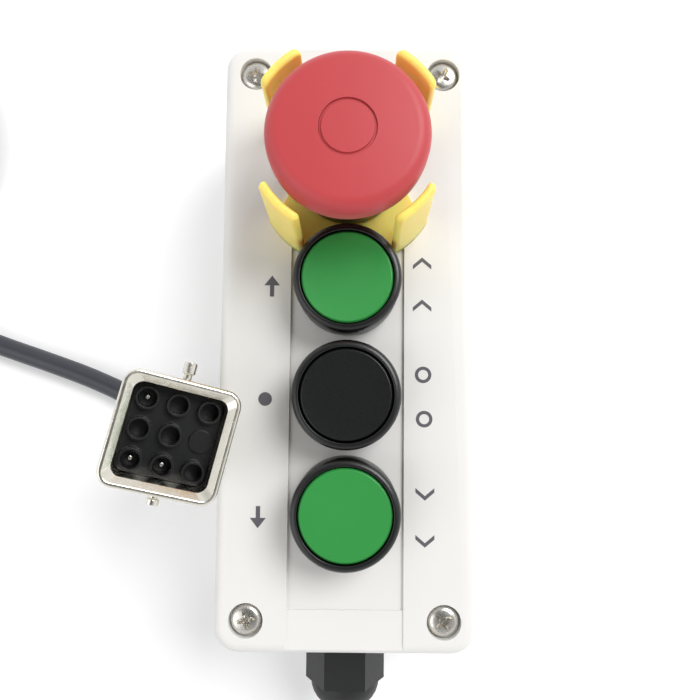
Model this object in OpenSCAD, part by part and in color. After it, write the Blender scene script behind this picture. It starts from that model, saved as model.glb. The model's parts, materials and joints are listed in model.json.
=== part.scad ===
// Elevator inspection box: a hand-held control station with three push buttons, a guarded
// stop button and a lead that ends in a square plug. The origin is the middle of the box's back,
// +X is across the box, +Y runs towards the stop button and +Z points out of the lid.

/* [Housing] */
// Width of the box
box_w = 72; // [66:1:90]
// Length of the box
box_l = 172; // [168:1:210]
// Height of the box, base and lid together
box_h = 56; // [54:0.5:62]
// Height of the lid
lid_h = 18; // [16:0.5:20]
// Thickness of the side walls
wall_t = 3; // [2.5:0.1:3.2]
// Thickness of the base's floor
floor_t = 3; // [2.5:0.1:3.5]
// Thickness of the panel that the buttons go through
panel_t = 3; // [2:0.1:3.5]
// Radius of the box's corners, seen from above
corner_r = 7; // [5:0.5:8]
// Rounding of the lid's top edge
lid_edge_r = 3; // [2:0.25:3.5]
// Rounding of the base's bottom edge
base_edge_r = 1.5; // [1:0.25:2.5]
// Width of the channel along the lid
channel_w = 31.8; // [31:0.1:33]
// Depth of the channel
channel_depth = 1; // [0.6:0.1:1.5]
// Length of the pad that closes each end of the channel
channel_pad_l = 12; // [9:0.5:13]
// Depth of the end pads below the lid's top
channel_pad_depth = 0.5; // [0.3:0.1:0.6]

/* [Seal and screws] */
// Thickness of the base's tongue, which the lid gasket sits on
tongue_t = 1.4; // [1.2:0.1:1.6]
// Height of the tongue above the joint
tongue_h = 2; // [1.5:0.1:3]
// Height of the lid gasket
gasket_h = 2; // [1.5:0.1:2.5]
// Distance of the lid screws from the box's sides and ends
screw_inset = 9; // [8.5:0.5:10]
// Diameter of the lid screws
screw_d = 4; // [3.5:0.1:4.2]
// Length of the lid screws under the head
screw_l = 24; // [22:0.5:28]
// Diameter of the lid screws' heads
screw_head_d = 8.4; // [7.8:0.1:8.6]
// Height of the lid screws' heads
screw_head_h = 2.6; // [2:0.1:2.8]
// Diameter of the round recess for each screw head
screw_recess_d = 9.4; // [9:0.1:9.8]
// Depth of the screw recess
screw_recess_depth = 3; // [2.5:0.1:3.5]
// Outside diameter of the screw bosses
boss_d = 11; // [10.5:0.1:12]
// Outside diameter of the brass inserts
insert_d = 6; // [5.5:0.1:6.5]
// Length of the brass inserts
insert_l = 9; // [7:0.5:11]
// Diameter of the two mounting holes in the back
mount_hole_d = 4.5; // [4:0.1:5]
// Distance of the mounting holes from the box's ends
mount_inset = 24; // [22:0.5:27]
// Outside diameter of the mounting bosses
mount_boss_d = 8.5; // [8:0.1:8.8]
// Height of the mounting bosses above the floor
mount_boss_h = 1.5; // [1:0.1:2.5]

/* [Push buttons] */
// Length of the box in distances from one button to the next
row_pitches = 5.5484; // [5.4:0.01:5.6]
// Gap between neighbouring bezels
bezel_space = 2.2; // [1.8:0.1:2.6]
// How far a bezel stands out around its threaded barrel
bezel_overhang = 3.5; // [3.2:0.1:3.8]
// Difference between a panel hole and the barrel in it
panel_hole_play = 0.5; // [0.4:0.1:0.6]
// Depth of a barrel below the panel's inner face
barrel_l = 18; // [16:0.5:19]
// Wall of a barrel
barrel_wall_t = 1.3; // [1.2:0.1:1.6]
// Thickness of the shelf that the return spring stands on
spring_shelf_t = 2; // [1.5:0.1:2.5]
// Height of the shelf above the barrel's lower end
spring_shelf_up = 8; // [6:0.5:9]
// Height of a bezel, without its gasket
bezel_h = 13; // [12:0.1:14]
// Width of a bezel's rim
bezel_rim_w = 1.9; // [1.6:0.1:2.2]
// Thickness of the panel gaskets
washer_t = 1; // [0.8:0.1:1.5]
// How far a bezel covers its panel gasket
washer_cover = 1.1; // [0.9:0.1:1.4]
// Depth of a cap's face below the bezel's rim
cap_set = 0.4; // [0.2:0.1:0.8]
// Thickness of a cap
cap_t = 4; // [3:0.1:4.4]
// Travel of a push button
cap_travel = 4; // [3:0.1:4.4]
// Room for the return spring between a stem and its barrel
spring_room = 3.6; // [3.4:0.1:4]
// Clearance around a part that slides
slide_gap = 0.3; // [0.25:0.01:0.4]
// Wire of the return springs
spring_wire_d = 1.2; // [1:0.1:1.3]
// Number of turns of a return spring
spring_turns = 5; // [4:1:6]
// Width of a ring nut's rim at its flats
ring_nut_rim_w = 1.65; // [1.4:0.05:1.8]
// Thickness of a ring nut
ring_nut_t = 3; // [2.5:0.1:4]

/* [Stop button] */
// How much wider the mushroom head is than the distance between buttons
head_extra = 9; // [6:0.5:10]
// Height of the head's widest line above the lid
head_rim_up = 31; // [30:0.5:33]
// Height of the dome above the widest line
head_dome_h = 4.4; // [4:0.1:6.5]
// Depth of the head below the widest line
head_under_h = 6; // [5:0.25:7]
// Radius of the rounded edge of the head
head_edge_r = 3.8; // [3.2:0.1:3.9]
// Diameter of the disc in the top of the head
head_disc_d = 13.3; // [11:0.1:15]
// Thickness of the disc
head_disc_t = 1.2; // [1:0.1:2]
// Width of the fine groove around the disc
head_disc_gap = 0.3; // [0.15:0.05:0.4]
// Width of the collar's wall around the neck
collar_wall_t = 2.4; // [2.2:0.1:3]
// Travel of the stop button
stop_travel = 5.5; // [4:0.1:6]
// Height of the collar that the neck slides in
collar_h = 9; // [8:0.1:10]
// How much thicker the post that the head turns on is than a stem
post_extra = 1; // [0.5:0.1:2]
// Running clearance around the post
turn_gap = 0.05; // [0.03:0.01:0.08]

/* [Guard] */
// Thickness of the guard's plate
guard_t = 2; // [1.6:0.1:2.5]
// How far the claws stand outside the head at the foot
guard_foot_reach = 5.9; // [5:0.1:6.5]
// How far the claws lean in from the foot to the top
guard_lean = 1; // [0.5:0.1:1.5]
// How far the guard's plate ends inside the claws' feet
guard_plate_inset = 0.5; // [0.3:0.1:1]
// Thickness of the claws
guard_claw_t = 2.2; // [1.8:0.1:2.6]
// Width of a claw
guard_claw_w = 12.6; // [10:0.1:14]
// Height of the claws above the lid
guard_claw_h = 31.5; // [28:0.5:34]
// Rounding of a claw's upper corners
guard_corner_r = 2; // [1.5:0.25:4]
// Gap between the guard's plate and the next bezel
guard_hollow_gap = 0.8; // [0.5:0.1:1.2]

/* [Contact blocks] */
// Width of a contact block across the box
block_w = 30; // [28:0.5:32]
// Length of a contact block along the box
block_l = 21; // [19:0.5:23]
// Height of a contact block
block_h = 20; // [19:0.5:21]
// Thickness of a contact block's walls
block_wall_t = 1.5; // [1.2:0.1:1.8]
// Length of the terminal shelves at the block's ends
shelf_l = 7; // [6.5:0.1:7.5]
// Height of the clip ring that holds a block on its barrel
clip_h = 6; // [4:0.5:7]
// Thickness of the clip ring
clip_t = 2; // [1.5:0.1:2.4]
// Width of the fixed contact strips
strip_w = 6; // [5:0.1:7]
// Thickness of the contact strips and bridges
strip_t = 1; // [0.8:0.1:1.2]
// Diameter of the contact tips
tip_d = 4; // [3:0.1:4.5]
// Gap that is left between contacts that meet
contact_gap = 0.3; // [0.25:0.01:0.4]
// Diameter of the terminal screws' heads
terminal_head_d = 5; // [4:0.1:5.5]

/* [Cable gland] */
// Width of the gland over its corners
gland_w = 24.6; // [23:0.1:26]
// Diameter of the gland's thread
gland_thread_d = 20; // [19:0.1:20.4]
// Length of the hexagon on the gland's body
gland_body_l = 6; // [4:0.5:7]
// Length of the hexagon on the dome nut
gland_nut_l = 12; // [10:0.5:13]
// Length of the dome at the gland's end
gland_dome_l = 8; // [6:0.5:9]
// Length of the gland's thread inside the box
gland_inside_l = 12; // [10:0.5:13]
// Thickness of the lock nut
lock_nut_t = 4; // [3:0.1:5]
// Wall that is left between the gland's hole and the base's rim
gland_rim_w = 3; // [2.5:0.1:4]

/* [Cable] */
// Diameter of the cable
cord_d = 7; // [6.8:0.1:7.2]
// Distance between turns that lie side by side
coil_pitch = 7.6; // [7.6:0.1:8]
// Distance between the two layers of the coil
coil_layer = 7.5; // [7.5:0.1:8]
// Radius of the coil's innermost turn
coil_inner_r = 29; // [28.5:0.1:29.5]
// Thickness of the tie around the coil
tie_t = 0.6; // [0.5:0.1:1]
// Width of the tie
tie_w = 9; // [6:0.5:12]
// Diameter of the wire cores inside the box
core_d = 1.3; // [1:0.1:1.3]

/* [Plug] */
// Width of the plug's square rim
plug_rim_w = 29; // [28.8:0.1:30]
// Width of the plug's hood below the rim
plug_body_w = 25.4; // [25.2:0.1:26]
// Width of the hood's lower part
plug_foot_w = 21.4; // [21:0.1:22]
// Rounding of the hood's corners
plug_corner_r = 4; // [3:0.25:5]
// Height of the rim
plug_rim_h = 6.5; // [6:0.5:7]
// Height of the hood's straight part, rim and body together
plug_body_h = 27; // [26:0.5:28]
// Height of the hood's tapered end
plug_taper_h = 7; // [5:0.5:8]
// Width of the rim's edge around the opening
plug_lip_t = 1.2; // [1:0.1:1.4]
// Width and depth of the sloping mouth inside the rim's edge
plug_mouth_w = 1.7; // [1.4:0.1:1.8]
// Depth of the opening down to the insert
plug_recess_depth = 9; // [8.5:0.25:9.5]
// Width of the insert
insert_w = 22.8; // [22.6:0.1:23]
// Width of the insert's lower part
insert_foot_w = 18.4; // [18:0.1:18.6]
// Height of the insert
insert_h = 14; // [12:0.5:15]
// Thickness of the insert's face plate
insert_plate_t = 4; // [3.5:0.1:4.5]
// Distance between the contact sleeves
sleeve_pitch = 7.8; // [7.2:0.1:7.9]
// Outside diameter of a sleeve
sleeve_d = 5.8; // [5.4:0.1:6]
// Bore of a sleeve
sleeve_bore_d = 4.6; // [3.8:0.1:4.7]
// Height of the sleeves above the insert's face
sleeve_h = 3.25; // [3:0.25:4]
// Diameter of the contact pins
pin_d = 1.6; // [1.4:0.1:2.4]
// Diameter of the locking pegs
peg_d = 3.3; // [2.5:0.1:3.5]
// Reach of the upper locking peg
peg_h = 4.4; // [4:0.1:5]
// Reach of the lower locking peg
low_peg_h = 2.4; // [2:0.1:3]
// Diameter of the plug's gland nut
plug_nut_d = 15; // [14:0.1:16]
// Length of the plug's gland nut
plug_nut_l = 10; // [8:0.5:11]

/* [Hidden] */
button_names = ["down", "common", "up"];
button_parts = ["bezel", "panel_gasket", "ring_nut", "cap", "return_spring", "contact_block",
                "contact_bridge", "terminals"];

// How finely round things are drawn
$fn = 48;
corner_steps = 6;
// How far a cut runs past the face that it opens
overrun = 1;
// Clearance around pieces that fit into one another and stay there
fit_gap = 0.05;

// Sizes that follow the box's length, so that the row of buttons fills it
station_pitch = box_l / row_pitches;
bezel_d = station_pitch - bezel_space;
barrel_d = bezel_d - 2 * bezel_overhang;
barrel_bore_d = barrel_d - 2 * barrel_wall_t;
panel_hole_d = barrel_d + panel_hole_play;
washer_w = bezel_overhang - washer_cover;
stem_d = barrel_bore_d - 2 * spring_room;
ring_nut_w = (barrel_d + 2 * ring_nut_rim_w) / sin(60);
head_d = station_pitch + head_extra;
neck_d = bezel_d - 2 * collar_wall_t;
post_d = stem_d + post_extra;
guard_foot_r = head_d / 2 + guard_foot_reach;
guard_top_r = guard_foot_r - guard_lean;
guard_plate_r = guard_foot_r - guard_plate_inset;
guard_hollow_r = bezel_d / 2 + guard_hollow_gap;
// Sizes that follow the box's sides and ends
screw_pitch_x = box_w - 2 * screw_inset;
screw_pitch_y = box_l - 2 * screw_inset;
mount_pitch = box_l - 2 * mount_inset;

// Heights of the main faces above the box's back
base_h = box_h - lid_h;
panel_z = box_h - channel_depth;
ceiling_z = panel_z - panel_t;
barrel_z = ceiling_z - barrel_l;
shelf_z = barrel_z + spring_shelf_up + spring_shelf_t;
bezel_z = panel_z + washer_t;
bezel_top_z = bezel_z + bezel_h;
cap_top_z = bezel_top_z - cap_set;
cap_under_z = cap_top_z - cap_t;
block_z = barrel_z - block_h;
stem_z = barrel_z + 2 * strip_t;
make_shelf_z = block_z + block_h * 0.3;
break_shelf_z = block_z + block_h * 0.6;

// Colours
shell_color = "#e9e8e6";
black_color = "#1c1d1f";
rubber_color = "#2b2b2d";
green_color = "#1f8f46";
red_color = "#d8474c";
yellow_color = "#f3c63a";
steel_color = "#c9cacc";
brass_color = "#c8a557";
copper_color = "#b87548";
cable_color = "#33363f";
core_color = "#b23b3b";

// Outlines and helpers

// Points of an arc, in degrees
function arc(centre, r, from, to, steps) =
    [for (i = [0 : steps]) centre + r * [cos(from + (to - from) * i / steps),
                                         sin(from + (to - from) * i / steps)]];

// Outline of a rectangle with round corners
function rounded_rect(w, l, r) = concat(
    arc([w / 2 - r, l / 2 - r], r, 0, 90, corner_steps),
    arc([r - w / 2, l / 2 - r], r, 90, 180, corner_steps),
    arc([r - w / 2, r - l / 2], r, 180, 270, corner_steps),
    arc([w / 2 - r, r - l / 2], r, 270, 360, corner_steps));

// A block with round upright corners that stands on z
module rounded_block(w, l, h, r, z = 0)
    translate([0, 0, z]) linear_extrude(h) polygon(rounded_rect(w, l, r));

// A solid through outlines with round corners, each [width, length, corner radius, height], from
// the lowest up
module loft(levels) {
    rings = [for (level = levels)
        [for (p = rounded_rect(level[0], level[1], level[2])) [p.x, p.y, level[3]]]];
    count = len(rings[0]);
    last = len(rings) - 1;
    polyhedron(
        points = [for (points = rings) each points],
        faces = concat(
            [[for (k = [0 : count - 1]) k], [for (k = [count - 1 : -1 : 0]) last * count + k]],
            [for (i = [0 : last - 1]) for (k = [0 : count - 1]) let (n = (k + 1) % count)
                [i * count + k, (i + 1) * count + k, (i + 1) * count + n, i * count + n]]));
}

// A block with round upright corners and a rounded edge around its upper face
module pillow(w, l, h, r, edge_r, steps = 4)
    loft(concat([[w, l, r, 0]], [for (i = [0 : steps])
        let (a = 90 * i / steps, inset = edge_r * (1 - cos(a)))
            [w - 2 * inset, l - 2 * inset, r - inset, h - edge_r + edge_r * sin(a)]]));

// A tube or a disc about Z, from one height to another
module ring(outer_d, inner_d, from, to)
    difference() {
        translate([0, 0, from]) cylinder(d = outer_d, h = to - from);
        if (inner_d > 0)
            translate([0, 0, from - overrun]) cylinder(d = inner_d, h = to - from + 2 * overrun);
    }

// The four places of the lid screws
module at_screws()
    for (x = [-1, 1], y = [-1, 1])
        translate([x * screw_pitch_x / 2, y * screw_pitch_y / 2, 0]) children();

// The place of a button along the box: 0 is the lowest, 3 is the stop button
function station_y(station) = (station - 1.5) * station_pitch;
module at_station(station) translate([0, station_y(station), 0]) children();

// A round tube swept along points. Each ring is square to the route, and its sides are carried on
// from the ring before, so the tube doesn't twist.
function unit(v) = v / norm(v);
function directions(p) =
    [for (i = [0 : len(p) - 1]) unit(p[min(i + 1, len(p) - 1)] - p[max(i - 1, 0)])];
function square_to(t, s) = unit(s - (s * t) * t);
function any_side(t) = square_to(t, abs(t.z) < 0.9 ? [0, 0, 1] : [1, 0, 0]);
function side_list(t) =
    [for (i = 0, s = any_side(t[0]); i < len(t); i = i + 1, s = square_to(t[min(i, len(t) - 1)], s)) s];
module tube(route, d, sides) {
    t = directions(route);
    s = side_list(t);
    last = len(route) - 1;
    polyhedron(
        points = [for (i = [0 : last]) for (k = [0 : sides - 1])
            let (a = 360 * k / sides)
                route[i] + d / 2 * (cos(a) * s[i] + sin(a) * cross(t[i], s[i]))],
        faces = concat(
            [for (i = [0 : last - 1]) for (k = [0 : sides - 1]) let (n = (k + 1) % sides)
                [i * sides + k, (i + 1) * sides + k, i * sides + n]],
            [for (i = [0 : last - 1]) for (k = [0 : sides - 1]) let (n = (k + 1) % sides)
                [i * sides + n, (i + 1) * sides + k, (i + 1) * sides + n]],
            [for (k = [1 : sides - 2]) [0, k, k + 1]],
            [for (k = [1 : sides - 2]) [last * sides, last * sides + k + 1, last * sides + k]]));
}

// Housing

module base_housing() color(shell_color)
    difference() {
        union() {
            difference() {
                translate([0, 0, base_h]) mirror([0, 0, 1])
                    pillow(box_w, box_l, base_h, corner_r, base_edge_r);
                rounded_block(box_w - 2 * wall_t, box_l - 2 * wall_t, base_h, corner_r - wall_t, floor_t);
            }
            tongue();
            at_screws() translate([0, 0, floor_t / 2]) cylinder(d = boss_d, h = base_h - floor_t / 2);
            for (side = [-1, 1]) translate([0, side * mount_pitch / 2, floor_t / 2])
                cylinder(d = mount_boss_d, h = floor_t / 2 + mount_boss_h);
        }
        at_screws() translate([0, 0, base_h - insert_l]) cylinder(d = insert_d, h = insert_l + overrun);
        at_screws() translate([0, 0, screw_end_z - overrun])
            cylinder(d = screw_d + 2 * fit_gap, h = base_h - screw_end_z);
        for (side = [-1, 1]) translate([0, side * mount_pitch / 2, -overrun])
            cylinder(d = mount_hole_d, h = floor_t + mount_boss_h + 2 * overrun);
        translate([0, overrun - box_l / 2 + wall_t, gland_z]) rotate([90, 0, 0])
            cylinder(d = gland_thread_d + 2 * fit_gap, h = wall_t + 2 * overrun);
    }

// The lip on the base that goes into the lid
module tongue()
    translate([0, 0, base_h - wall_t]) linear_extrude(wall_t + tongue_h) difference() {
        polygon(rounded_rect(box_w - 2 * wall_t + 2 * tongue_t, box_l - 2 * wall_t + 2 * tongue_t,
                             corner_r - wall_t + tongue_t));
        polygon(rounded_rect(box_w - 2 * wall_t, box_l - 2 * wall_t, corner_r - wall_t));
    }

screw_head_z = box_h - screw_recess_depth;
screw_end_z = screw_head_z - screw_l;
gland_z = base_h - gland_rim_w - gland_thread_d / 2;
rabbet_gap = 0.2;

module lid() color(shell_color)
    difference() {
        union() {
            difference() {
                translate([0, 0, base_h]) pillow(box_w, box_l, lid_h, corner_r, lid_edge_r);
                rounded_block(box_w - 2 * wall_t, box_l - 2 * wall_t, ceiling_z - base_h + overrun,
                              corner_r - wall_t, base_h - overrun);
            }
            at_screws() translate([0, 0, base_h]) cylinder(d = boss_d, h = ceiling_z + panel_t / 2 - base_h);
        }
        rabbet();
        channel();
        at_screws() translate([0, 0, base_h - overrun]) cylinder(d = screw_d + 2 * slide_gap, h = lid_h);
        at_screws() translate([0, 0, screw_head_z])
            cylinder(d = screw_recess_d, h = screw_recess_depth + overrun);
        for (station = [0 : 3]) at_station(station) translate([0, 0, ceiling_z - overrun])
            cylinder(d = panel_hole_d, h = panel_t + 2 * overrun);
    }

// The step inside the lid that takes the base's tongue and the gasket
module rabbet()
    rounded_block(box_w - 2 * wall_t + 2 * tongue_t + 2 * rabbet_gap,
                  box_l - 2 * wall_t + 2 * tongue_t + 2 * rabbet_gap,
                  tongue_h + gasket_h + overrun, corner_r - wall_t + tongue_t + rabbet_gap,
                  base_h - overrun);

// The channel along the lid with a pad at each end
module channel() {
    translate([-channel_w / 2, channel_pad_l - box_l / 2, panel_z])
        cube([channel_w, box_l - 2 * channel_pad_l, channel_depth + overrun]);
    for (side = [-1, 1]) translate([-channel_w / 2, side * (box_l - channel_pad_l) / 2
                                    - channel_pad_l / 2 - overrun, box_h - channel_pad_depth])
        cube([channel_w, channel_pad_l + 2 * overrun, channel_pad_depth + overrun]);
}

module lid_gasket() color(rubber_color)
    translate([0, 0, base_h + tongue_h]) linear_extrude(gasket_h) difference() {
        polygon(rounded_rect(box_w - 2 * wall_t + 2 * tongue_t, box_l - 2 * wall_t + 2 * tongue_t,
                             corner_r - wall_t + tongue_t));
        polygon(rounded_rect(box_w - 2 * wall_t, box_l - 2 * wall_t, corner_r - wall_t));
    }

module lid_screws() color(steel_color) at_screws() lid_screw();
module lid_screw() {
    slot_w = screw_head_h * 0.4;
    slot_depth = screw_head_h * 0.45;
    difference() {
        translate([0, 0, screw_head_z]) rotate_extrude()
            polygon(concat([[0, 0]], arc([screw_head_d / 2 - screw_head_h / 2, screw_head_h / 2],
                                         screw_head_h / 2, 0, 90, corner_steps), [[0, screw_head_h]]));
        for (turn = [0, 90]) rotate([0, 0, turn])
            translate([-screw_head_d, -slot_w / 2, screw_head_z + screw_head_h - slot_depth])
                cube([2 * screw_head_d, slot_w, slot_depth + overrun]);
    }
    translate([0, 0, screw_end_z]) cylinder(d = screw_d, h = screw_l + screw_head_h / 4);
}

module screw_inserts() color(brass_color) at_screws()
    ring(insert_d, screw_d + 2 * fit_gap, base_h - insert_l, base_h);

// Push buttons

// A bezel with its threaded barrel and the shelf for the return spring in one piece
module button_bezel(station) color(black_color) at_station(station) {
    recess_z = cap_under_z - cap_travel - slide_gap;
    rim_r = bezel_d / 2;
    well_r = rim_r - bezel_rim_w;
    edge = bezel_rim_w / 3;
    rotate_extrude() polygon(concat(
        [[stem_d / 2 + slide_gap, shelf_z - spring_shelf_t], [barrel_bore_d / 2, shelf_z - spring_shelf_t],
         [barrel_bore_d / 2, barrel_z], [barrel_d / 2, barrel_z], [barrel_d / 2, bezel_z],
         [rim_r, bezel_z]],
        arc([rim_r - edge, bezel_top_z - edge], edge, 0, 90, corner_steps),
        [[well_r, bezel_top_z], [well_r, recess_z], [barrel_bore_d / 2, recess_z],
         [barrel_bore_d / 2, shelf_z], [stem_d / 2 + slide_gap, shelf_z]]));
}

module panel_gasket(station, z) color(rubber_color) at_station(station)
    ring(barrel_d + 2 * fit_gap + 2 * washer_w, barrel_d + 2 * fit_gap, z, z + washer_t);

module ring_nut(station) color(black_color) at_station(station)
    difference() {
        translate([0, 0, ceiling_z - ring_nut_t]) cylinder(d = ring_nut_w, h = ring_nut_t, $fn = 6);
        translate([0, 0, ceiling_z - ring_nut_t - overrun])
            cylinder(d = barrel_d + 2 * fit_gap, h = ring_nut_t + 2 * overrun);
    }

module button_cap(station) color(station == 1 ? black_color : green_color) at_station(station) {
    cap_r = bezel_d / 2 - bezel_rim_w - slide_gap;
    edge = cap_set;
    rotate_extrude() polygon(concat(
        [[0, stem_z], [stem_d / 2, stem_z], [stem_d / 2, cap_under_z], [cap_r, cap_under_z]],
        arc([cap_r - edge, cap_top_z - edge], edge, 0, 90, corner_steps),
        [[0, cap_top_z]]));
}

// A return spring: one wire that winds from the shelf up to what it lifts, with ground ends
module return_spring(station, top_z) color(steel_color) at_station(station) {
    coil_r = (barrel_bore_d + stem_d) / 4;
    rings = spring_turns * 8;
    low = shelf_z + spring_wire_d / 2;
    high = top_z - spring_wire_d / 2;
    tube([for (i = [0 : rings]) let (a = 360 * spring_turns * i / rings)
             [coil_r * cos(a), coil_r * sin(a), low + (high - low) * i / rings]], spring_wire_d, 6);
}

// Contact blocks

// The height of the fixed contacts, which a make contact closes down on and a break contact
// opens away from
function contact_shelf_z(is_break) = is_break ? break_shelf_z : make_shelf_z;

module contact_block(station, is_break) color(black_color) at_station(station) {
    strip_z = contact_shelf_z(is_break);
    difference() {
        union() {
            translate([-block_w / 2, -block_l / 2, block_z]) cube([block_w, block_l, block_h]);
            translate([-block_w / 2 - shelf_l, -block_l / 2, block_z])
                cube([block_w + 2 * shelf_l, block_l, strip_z - block_z]);
            ring(barrel_d + 2 * fit_gap + 2 * clip_t, barrel_d + 2 * fit_gap, barrel_z - strip_t,
                 barrel_z + clip_h);
        }
        translate([0, 0, block_z + block_wall_t]) translate([-block_w / 2 + block_wall_t,
                                                             -block_l / 2 + block_wall_t, 0])
            cube([block_w - 2 * block_wall_t, block_l - 2 * block_wall_t,
                  block_h - 2 * block_wall_t]);
        translate([0, 0, barrel_z - block_wall_t - overrun])
            cylinder(d = stem_d + 2 * slide_gap, h = block_wall_t + 2 * overrun);
        translate([-block_w / 2 - overrun, -strip_w / 2 - fit_gap, strip_z])
            cube([block_w + 2 * overrun, strip_w + 2 * fit_gap, strip_t + fit_gap]);
        for (side = [-1, 1]) translate([side * terminal_x, 0, strip_z - terminal_shank_l])
            cylinder(d = terminal_shank_d + 2 * fit_gap, h = terminal_shank_l + overrun);
    }
    // Supports under the strips. A break contact's bar moves below the tips, so its are narrower.
    inner = block_w / 2 - block_wall_t;
    support_x = is_break ? tip_x + tip_d / 2 + slide_gap : tip_x - tip_d / 2;
    for (side = [-1, 1]) translate([side > 0 ? support_x : -inner, -strip_w / 2,
                                    block_z + block_wall_t - fit_gap])
        cube([inner - support_x + fit_gap, strip_w, strip_z - block_z - block_wall_t + fit_gap]);
}

terminal_x = block_w / 2 + shelf_l / 2;
terminal_shank_d = terminal_head_d * 0.6;
terminal_shank_l = 5;
terminal_head_h = terminal_head_d * 0.4;
tip_x = block_w / 2 - block_wall_t - tip_d;
tip_h = strip_t / 2;

// The two fixed contact strips of a block, each with its contact tip and terminal screw
module terminals(station, is_break) color(brass_color) at_station(station) {
    strip_z = contact_shelf_z(is_break);
    for (side = [-1, 1]) mirror([side < 0 ? 1 : 0, 0, 0]) {
        difference() {
            translate([tip_x - tip_d / 2, -strip_w / 2, strip_z])
                cube([block_w / 2 + shelf_l - tip_x + tip_d / 2, strip_w, strip_t]);
            translate([terminal_x, 0, strip_z - overrun])
                cylinder(d = terminal_shank_d, h = strip_t + 2 * overrun);
        }
        translate([tip_x, 0, is_break ? strip_z - tip_h : strip_z + strip_t])
            cylinder(d = tip_d, h = tip_h);
        translate([terminal_x, 0, strip_z - terminal_shank_l])
            cylinder(d = terminal_shank_d, h = terminal_shank_l + strip_t + terminal_head_h / 2);
        difference() {
            translate([terminal_x, 0, strip_z + strip_t])
                cylinder(d = terminal_head_d, h = terminal_head_h);
            translate([terminal_x - terminal_head_d, -terminal_head_h / 6,
                       strip_z + strip_t + terminal_head_h / 2])
                cube([2 * terminal_head_d, terminal_head_h / 3, terminal_head_h]);
        }
    }
}

// The moving bar that joins the two fixed contacts, on the pusher that hangs from the stem
module contact_bridge(station, is_break, travel) color(copper_color) at_station(station) {
    strip_z = contact_shelf_z(is_break);
    bar_z = is_break ? strip_z - tip_h - contact_gap - tip_h - strip_t
                     : strip_z + strip_t + tip_h + contact_gap + tip_h + travel;
    pusher_d = stem_d / 3;
    translate([-tip_x - tip_d / 2, -strip_w / 2, bar_z])
        cube([2 * tip_x + tip_d, strip_w, strip_t]);
    for (side = [-1, 1]) translate([side * tip_x, 0, is_break ? bar_z + strip_t : bar_z - tip_h])
        cylinder(d = tip_d - 2 * contact_gap, h = tip_h);
    translate([0, 0, bar_z - strip_t]) cylinder(d = pusher_d, h = stem_z - bar_z + strip_t);
}

// Stop button

guard_top_z = box_h + guard_t;
collar_z = guard_top_z + washer_t;
collar_top_z = collar_z + collar_h;
head_rim_z = box_h + head_rim_up;
head_top_z = head_rim_z + head_dome_h;
head_under_z = head_rim_z - head_under_h;
neck_z = collar_top_z - slide_gap;
flange_z = neck_z - slide_gap;
flange_t = washer_t * 3;
post_top_z = head_rim_z;

module stop_guard() color(yellow_color) at_station(3) {
    difference() {
        union() {
            translate([0, 0, box_h]) cylinder(r = guard_plate_r, h = guard_t);
            translate([0, 0, panel_z]) cylinder(d = bezel_d, h = channel_depth + guard_t);
        }
        for (turn = [0 : 90 : 270]) rotate([0, 0, turn])
            translate([station_pitch, 0, panel_z - overrun])
                cylinder(r = guard_hollow_r, h = channel_depth + guard_t + 2 * overrun);
        translate([0, 0, panel_z - overrun])
            cylinder(d = barrel_d + 2 * fit_gap, h = channel_depth + guard_t + 2 * overrun);
    }
    for (turn = [45 : 90 : 315]) rotate([0, 0, turn]) claw();
}

// One claw: a slice of a slightly conical ring with rounded upper corners
module claw()
    intersection() {
        translate([0, 0, box_h]) rotate_extrude() polygon([
            [guard_foot_r - guard_claw_t - guard_t / 2, 0], [guard_foot_r, 0],
            [guard_top_r, guard_claw_h], [guard_top_r - guard_claw_t, guard_claw_h],
            [guard_foot_r - guard_claw_t - guard_t / 2, guard_t]]);
        translate([guard_foot_r / 2, 0, box_h + guard_claw_h / 2]) rotate([90, 0, 90])
            linear_extrude(guard_foot_r)
                polygon(concat(
                    arc([guard_claw_w / 2 - guard_corner_r, guard_claw_h / 2 - guard_corner_r],
                        guard_corner_r, 0, 90, corner_steps),
                    arc([guard_corner_r - guard_claw_w / 2, guard_claw_h / 2 - guard_corner_r],
                        guard_corner_r, 90, 180, corner_steps),
                    [[-guard_claw_w / 2, -guard_claw_h / 2], [guard_claw_w / 2, -guard_claw_h / 2]]));
    }

module stop_body() color(black_color) at_station(3) {
    well_r = neck_d / 2 + slide_gap;
    recess_z = neck_z - stop_travel - flange_t;
    rotate_extrude() polygon([
        [stem_d / 2 + slide_gap, shelf_z - spring_shelf_t], [barrel_bore_d / 2, shelf_z - spring_shelf_t],
        [barrel_bore_d / 2, barrel_z], [barrel_d / 2, barrel_z], [barrel_d / 2, collar_z],
        [bezel_d / 2, collar_z], [bezel_d / 2, collar_top_z - bezel_rim_w / 2],
        [bezel_d / 2 - bezel_rim_w / 2, collar_top_z], [well_r, collar_top_z],
        [well_r, max(recess_z, collar_z + washer_t)],
        [barrel_bore_d / 2, max(recess_z, collar_z + washer_t)],
        [barrel_bore_d / 2, shelf_z], [stem_d / 2 + slide_gap, shelf_z]]);
}

module stop_plunger() color(black_color) at_station(3)
    rotate_extrude() polygon([
        [0, stem_z], [stem_d / 2, stem_z], [stem_d / 2, flange_z - flange_t],
        [barrel_bore_d / 2 - slide_gap, flange_z - flange_t],
        [barrel_bore_d / 2 - slide_gap, flange_z], [post_d / 2, flange_z],
        [post_d / 2, post_top_z - slide_gap], [0, post_top_z - slide_gap]]);

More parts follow.
